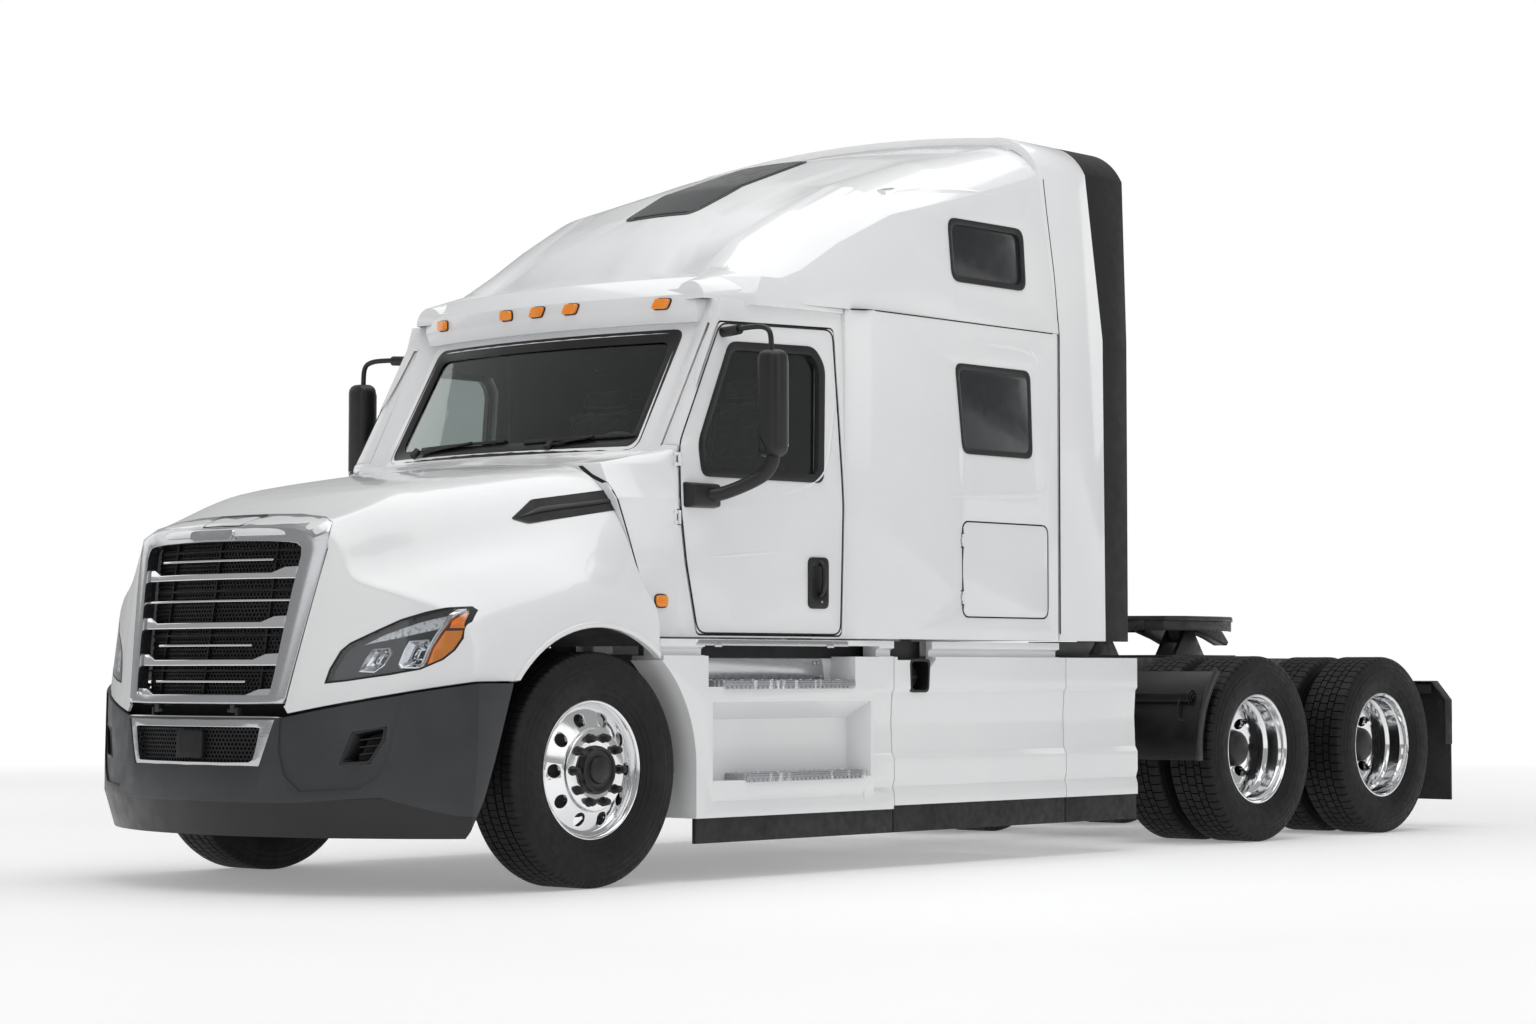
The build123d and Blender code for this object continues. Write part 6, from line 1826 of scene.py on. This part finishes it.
DRIVE_DISC = ((0.9045, 0.104), (0.9295, 0.104), (0.9295, 0.1760), (0.9330, 0.1830),
              (0.9600, 0.2340), (0.9720, 0.2470), (0.9900, 0.2545), (0.9980, 0.2530),
              (1.0600, 0.2530), (1.0680, 0.2570), (1.0800, 0.2700), (1.0900, 0.2720),
              (1.1480, 0.2720), (1.1560, 0.2775), (1.1760, 0.2800), (1.1850, 0.2840),
              (1.1900, 0.2920), (1.1900, 0.2985), (1.1850, 0.3005), (1.1780, 0.2900),
              (1.1700, 0.2872), (0.9800, 0.2872), (0.9720, 0.2900), (0.9640, 0.3000),
              (0.9600, 0.2990), (0.9600, 0.2720), (0.9400, 0.2450), (0.9140, 0.1860),
              (0.9045, 0.1760))


def forged_wheel(section, station, inner_x, outer_x):
    """Polished wheel with ten round hand holes through its disc."""
    wheel = spun(section, station, 120)
    holes = round_the_axle(started("cylinder", vertices=36, radius=0.030, depth=outer_x - inner_x,
                                   location=((inner_x + outer_x) / 2, along(station),
                                             AXLE_HEIGHT + 0.221), rotation=(0, math.pi / 2, 0)),
                           station, 10, 0.5)
    cut(wheel, holes)
    return softened(wheel, 0.0018, 32, 2)


def wheels():
    """All six wheels, with the brake drums behind their discs."""
    wheel = forged_wheel(STEER_DISC, STEER_AXLE, 1.05, 1.25)
    for part, node in zip(pair(wheel, "front_wheel_disc", POLISHED, FRONT_WHEELS),
                          ("wheel_front_left", "wheel_front_right")):
        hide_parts(node)
    drum = softened(spun(((1.085, 0.05), (1.085, 0.200), (1.060, 0.206), (0.985, 0.206),
                          (0.985, 0.190), (0.985, 0.05)), STEER_AXLE), 0.003)
    pair(drum, "front_drum", CAST_IRON, FRONT_WHEELS)
    for number, station in enumerate(DRIVE_AXLES, 1):
        bodies = [f"drive_wheels_{number}_{side}" for side in ("left", "right")]
        outer = forged_wheel(DRIVE_DISC, station, 0.85, 1.05)
        inner = forged_wheel([(1.807 - x, radius) for x, radius in DRIVE_DISC], station, 0.76, 0.95)
        both = pair(joined([outer, inner]), f"drive_wheels_{number}_discs", POLISHED, bodies)
        for part, side in zip(both, ("left", "right")):
            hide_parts(f"wheels_drive_{number}_{side}")
        drum = softened(spun(((0.665, 0.05), (0.665, 0.205), (0.860, 0.205), (0.875, 0.190),
                              (0.875, 0.05)), station), 0.003)
        pair(drum, f"drive_drum_{number}", CAST_IRON, bodies)


# ---------------------------------------------------------------- fifth wheel
def fifth_wheel_edges():
    """Deep edge under the coupler's plate, ribs, and the two ramps at its rear."""
    plan = ((-0.400, 0.203), (-0.298, 0.392), (-0.178, 0.462), (0.178, 0.462), (0.328, 0.433),
            (0.545, 0.300))
    parts = []
    for side in (-1, 1):
        outline = [(side * x, s) for s, x in plan]
        inner = [(side * (x - 0.022), s) for s, x in plan]
        rows = [[Vector((x, along(7.040 + s), z)) for x, s in line] for line, z in
                ((outline, 1.224), (outline, 1.166), (inner, 1.166), (inner, 1.224))]
        rows.append(rows[0])
        parts.append(filled(woven(rows, closed=False)))
        ramp = side_plate(((7.340, 1.222), (7.340, 1.165), (7.500, 1.125), (7.620, 1.086),
                           (7.655, 1.086), (7.672, 1.105), (7.610, 1.165), (7.520, 1.214)),
                          side * 0.15, side * 0.075)
        parts.append(tidy_mesh(ramp))
        parts += [box((side * (x - 0.008), side * (x + 0.008)), (6.72, 7.30), (1.175, 1.223))
                  for x in (0.20, 0.33)]
    front = plate([(x, along(6.640 + 0.5 * abs(x) ** 2.2), 1.170) for x in
                   [-0.30 + 0.60 * step / 12 for step in range(13)]]
                  + [(x, along(6.662 + 0.5 * abs(x) ** 2.2), 1.170) for x in
                     [0.30 - 0.60 * step / 12 for step in range(13)]], (0, 0, 0.054))
    parts.append(front)
    piece = softened(joined(parts), 0.004, 30)
    fitted(piece, "coupler_edges", GREASED, "fifth_wheel_plate")


# ---------------------------------------------------------------- seams, creases and roof light
def paced(points, gap=0.06):
    """Open line of pairs with points added on its long runs."""
    line = []
    for start, end in zip(points, points[1:]):
        a, b = Vector(start), Vector(end)
        count = max(1, int((b - a).length / gap))
        line += [tuple(a.lerp(b, step / count)) for step in range(count)]
    return line + [points[-1]]


def bowed(points, rounds=2):
    """Open line of pairs with its corners cut down to a smooth bow."""
    for _ in range(rounds):
        line = [points[0]]
        for start, end in zip(points, points[1:]):
            a, b = Vector(start), Vector(end)
            line += [tuple(a.lerp(b, 0.25)), tuple(a.lerp(b, 0.75))]
        points = line + [points[-1]]
    return points


def wall_bar(name, points, node, bodies, finish, radius=0.0035, sunk=0.001, fade=0.0,
             closed=False):
    """Round bar laid on a side wall along (station, z) points, sunk in, more at its ends."""
    line = thickened(points, 0.06) if closed else paced(points)
    run = []
    for index, (s, z) in enumerate(line):
        share = min(1.0, 3.0 * min(index, len(line) - 1 - index) / len(line))
        run.append((-sunk - fade * (1 - share), along(s), z))
    bar = tube(run, radius, 12, closed)
    laid_on_wall(bar, node, 2.2)
    pair(bar, name, finish, bodies)


def seam(name, points, node, bodies=CHASSIS, closed=False, radius=0.0035):
    """Black rubber line in a joint between two panels."""
    wall_bar(name, points, node, bodies, SEAM_RUBBER, radius, 0.0012, 0.0, closed)


def crease(name, points, node, bodies=CHASSIS, radius=0.030, proud=0.0065):
    """Pressed edge that stands a few millimetres proud of a panel and dies away at its ends."""
    wall_bar(name, bowed(points), node, bodies, PAINT, radius, radius - proud,
             proud + 0.004)


def body_seams():
    """Joints round the doors, hatches, roof, sleeper and side extenders."""
    seam("door_seam", rounded(grown(DOOR_EDGE, -0.003), 0.05), "door_left", DOORS, True, 0.0045)
    seam("hatch_seam", rounded(grown(HATCH_EDGE, 0.004), 0.055), "sleeper_shell", CHASSIS, True)
    seam("roof_joint", [(3.01, 2.640), (4.598, 2.640)], "sleeper_shell")
    seam("extender_joint", [(4.603, 1.12), (4.603, 2.64), (4.560, 2.95), (4.500, 3.25),
                            (4.470, 3.42)], "side_extenders")


def cowl_seam():
    """Black rubber where the hood's rear edge meets the cowl."""
    bar = tube([(0, along(s + 0.010), z) for s, z in paced(HOOD_SEAM[1:5], 0.04)], 0.0055, 8)
    laid(bar, frame["nodes"]["cab_shell"], 0, 2.2)
    pair(bar, "cowl_seam", SEAM_RUBBER, CHASSIS)


def side_panes():
    """Dark panes of the sleeper's side windows, nearly flush in their rubber."""
    for name, outline, node in (("sleeper_pane", SLEEPER_WINDOW, "sleeper_shell"),
                                ("roof_pane", ROOF_WINDOW, "roof_cap")):
        line = rounded(grown(outline, -0.016), 0.045)
        level = max(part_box(node)[1].x - 0.013, 0) if node == "sleeper_shell" else 1.207
        pane = softened(side_plate(line, level, 0.005), 0.0015, 30)
        pair(pane, name, DARK_PANE, CHASSIS)


def body_creases():
    """Pressed edges of the roof, the sleeper's side panel and the doors."""
    crease("roof_crease", [(3.350, 3.228), (3.430, 3.246), (3.637, 3.280), (3.863, 3.296),
                           (4.234, 3.290)], "roof_cap")
    crease("sleeper_crease_low", [(3.426, 1.763), (3.921, 1.794), (4.360, 1.812), (4.470, 1.830),
                                  (4.490, 1.900), (4.500, 2.05)], "sleeper_shell")
    crease("sleeper_crease_top", [(3.660, 2.540), (4.015, 2.549), (4.290, 2.549), (4.400, 2.515),
                                  (4.455, 2.430)], "sleeper_shell")
    crease("door_crease", [(1.985, 1.436), (2.194, 1.456), (2.458, 1.475), (2.654, 1.492)],
           "door_left", DOORS, 0.022, 0.0045)
    crease("door_frame_crease", [(2.935, 2.420), (2.935, 2.259), (2.893, 1.995), (2.846, 1.850),
                                 (2.732, 1.790), (2.461, 1.726), (2.173, 1.682)],
           "door_left", DOORS, 0.022, 0.0045)


def grille_gap_shade_sheet():
    """Dark sheet behind the gap between the hood's grille and the bumper: painted shade, so that
    the gap reads dark.
    """
    sheet = box((-0.80, 0.80), (0.272, 0.276), (0.690, 0.790))
    fitted(sheet, "grille_gap_shade_sheet", MATT_PLASTIC, "chassis")


FLANGE = ((1.180, 0.588), (1.213, 0.588), (1.217, 0.600), (1.216, 0.624), (1.209, 0.630),
          (1.204, 0.622), (1.203, 0.602), (1.180, 0.600))
FLAP_FOLD = ((1.2125, 0.50), (1.2180, 0.50), (1.2180, 0.763), (1.1240, 0.876), (0.61, 0.876),
             (0.61, 0.8705), (1.1205, 0.8705), (1.2125, 0.760))


def guard_trim():
    """Rolled flange, bolt and hook of the fender, folded edge of the mud flap, side reservoir."""
    rows = []
    for step in range(19):
        angle = math.radians(-5 + 50 * step / 18)
        rows.append([Vector((x, along(DRIVE_AXLES[0] - reach * math.cos(angle)),
                             AXLE_HEIGHT + reach * math.sin(angle))) for x, reach in FLANGE])
    flange = softened(filled(woven(rows)), 0.002, 30)
    stay = [spun_bolt(1.110, 5.943, 0.791, radius, length)
            for radius, length in ((0.042, 0.008), (0.030, 0.016), (0.012, 0.024))]
    stay.append(tube([(1.050, along(5.925), 0.780), (1.050, along(5.908), 0.745),
                      (1.050, along(5.905), 0.705), (1.062, along(5.908), 0.675),
                      (1.085, along(5.914), 0.668)], 0.008, 12))
    pair(joined([flange, *stay]), "guard_trim", BLACK_PLASTIC, CHASSIS)
    fold = softened(front_plate(FLAP_FOLD, 8.480, 0.078), 0.001, 30)
    pair(fold, "flap_fold", STRIP_RUBBER, CHASSIS)
    tank = started("cylinder", vertices=40, radius=0.052, depth=0.26,
                   location=(1.015, along(5.36), 0.600), rotation=(math.pi / 2, 0, 0))
    arm = box((0.43, 1.00), (5.345, 5.375), (0.590, 0.640))
    pair(joined([softened(tank, 0.016, 40, 4), arm]), "side_reservoir", FRAME_PAINT, CHASSIS)


def spun_bolt(x, station, height, radius, length):
    """Round head that stands out to the side."""
    head = started("cylinder", vertices=24, radius=radius, depth=length,
                   location=(x + length / 2, along(station), height),
                   rotation=(0, math.pi / 2, 0))
    return softened(head, 0.003, 40)


def window_bar():
    """Rail where the two panes of the sleeper's lower window meet."""
    bar = tube([(1.2125, along(3.790), 2.218), (1.2125, along(4.340), 2.206)], 0.0045, 8)
    pair(bar, "window_bar", BLACK_PLASTIC, CHASSIS)


def roof_light():
    """Dark rounded light in the front of the roof, on a thin black frame."""
    half = [(0.222, 3.793), (0.253, 3.218), (0.223, 2.935)]
    outline = half + [(-x, s) for x, s in reversed(half)]
    for name, edge, finish, slot, depth in (
            ("roof_light_frame", 0.018, BLACK_PLASTIC, "black_plastic", 0.004),
            ("roof_light", 0.0, DARK_PANE, "window_glass", 0.007)):
        points = rounded(grown(outline, edge), 0.06)
        piece = plate([(x, along(s), -0.006) for x, s in points], (0, 0, 0.006 + depth))
        facets(piece, 0, 1, 0.05)
        laid(piece, frame["nodes"]["roof_cap"], 2, 6.0)
        softened(piece, 0.002, 40)
        fitted(piece, name, finish, "chassis")


DOOR_EDGE = ((2.005, 1.100), (1.938, 1.420), (1.903, 1.690), (1.910, 1.950), (2.225, 2.525),
             (2.925, 2.540), (2.972, 1.720), (2.955, 1.100))
HATCH_EDGE = ((3.800, 1.200), (3.800, 1.660), (4.495, 1.660), (4.495, 1.200))


# ---------------------------------------------------------------- the truck, piece by piece
form_of_hood = hood_form()
hood_skin(form_of_hood)
grille()
headlamp(form_of_hood)
side_vent(form_of_hood)
arch_lip()
bpy.data.objects.remove(form_of_hood)

bumper_wall = front_wall()
bumper_pieces(bumper_wall)
bumper_grille(bumper_wall)
fog_pocket(bumper_wall)
bpy.data.objects.remove(bumper_wall)

windshield_seal()
window_seal("sleeper_window_seal", SLEEPER_WINDOW, "sleeper_shell", CHASSIS, 0.030)
window_seal("roof_window_seal", ROOF_WINDOW, "roof_cap", CHASSIS, 0.030, radius=0.06)
window_seal("door_window_seal", DOOR_WINDOW, "door_left", DOORS, 0.040, radius=0.045)
wiper(-0.55, 0.05, "wiper_right")
wiper(0.35, 0.80, "wiper_left")
for number, (x, z) in enumerate(((-0.733, 2.626), (-0.216, 2.633), (0.0, 2.634), (0.216, 2.633),
                                 (0.733, 2.626)), 1):
    marker_lamp(x, z, number)
door_handle()
side_marker()
mirror_pieces()

tyres_on([(f"tyre_front_{side}", [(x, STEER_AXLE)]) for side, x in
          (("left", 1.045), ("right", -1.045))], STEER_RIBS, 96, 0.014, 0.004)
tyres_on([(f"tyres_drive_{number}_{side}", [(sign * 1.075, station), (sign * 0.732, station)])
          for number, station in enumerate(DRIVE_AXLES, 1)
          for side, sign in (("left", 1), ("right", -1))], DRIVE_RIBS, 64, 0.017, 0.013)
wheel_trim(FRONT_WHEELS, "front_wheel", STEER_AXLE, 1.1802, 0.042, STEER_HUB)
for number, station in enumerate(DRIVE_AXLES, 1):
    wheel_trim([f"drive_wheels_{number}_{side}" for side in ("left", "right")],
               f"drive_wheels_{number}", station, 0.9296, 0.046, DRIVE_HUB)
wheels()
skirt_panels()
fifth_wheel_edges()
seat_pieces()
bunk_pieces()
dash_pieces()
step_trim()
step_treads()
filler_pocket()
rear_funnel()
body_seams()
cowl_seam()
side_panes()
body_creases()
window_bar()
guard_trim()
grille_gap_shade_sheet()
roof_light()

for node, edge in (("cab_shell", 0.003), ("sleeper_shell", 0.004), ("roof_cap", 0.004),
                   ("roof_visor", 0.006), ("side_extenders", 0.004), ("extender_edges", 0.004),
                   ("door_left", 0.003), ("door_right", 0.003), ("luggage_door_left", 0.002),
                   ("luggage_door_right", 0.002), ("skirt_strips", 0.004),
                   ("quarter_fenders", 0.003), ("mud_flaps", 0.002), ("dashboard", 0.004),
                   ("fifth_wheel_plate", 0.004), ("fifth_wheel_base", 0.004),
                   ("frame_rails", 0.003), ("frame_crossmembers", 0.003)):
    dressed(node, node + "_finish", edge)

# ---------------------------------------------------------------- floor, with painted glow
floor = started("plane", size=80)
floor.name = "floor"
floor_finish, floor_shader, floor_place = finish_recipe("floor_with_painted_glow", (0.86, 0.86, 0.86), 0.6)
tint(floor_finish, floor_shader, noise(floor_finish, floor_place, 0.4), (0.85, 0.85, 0.85),
     (0.87, 0.87, 0.87))
# The floor glows white, with strength 0.26 at 6 m from the middle rising to 0.8 at 22 m: painted
# light that lifts the floor and its shadows towards the backdrop's white.
floor_shader.inputs["Emission Color"].default_value = (1, 1, 1, 1)
reach = floor_finish.node_tree.nodes.new("ShaderNodeVectorMath")
reach.operation = "LENGTH"
floor_finish.node_tree.links.new(floor_place, reach.inputs[0])
floor_finish.node_tree.links.new(spread(floor_finish, reach.outputs["Value"], 6.0, 22.0, 0.26, 0.8),
                                 floor_shader.inputs["Emission Strength"])
floor.data.materials.append(floor_finish)
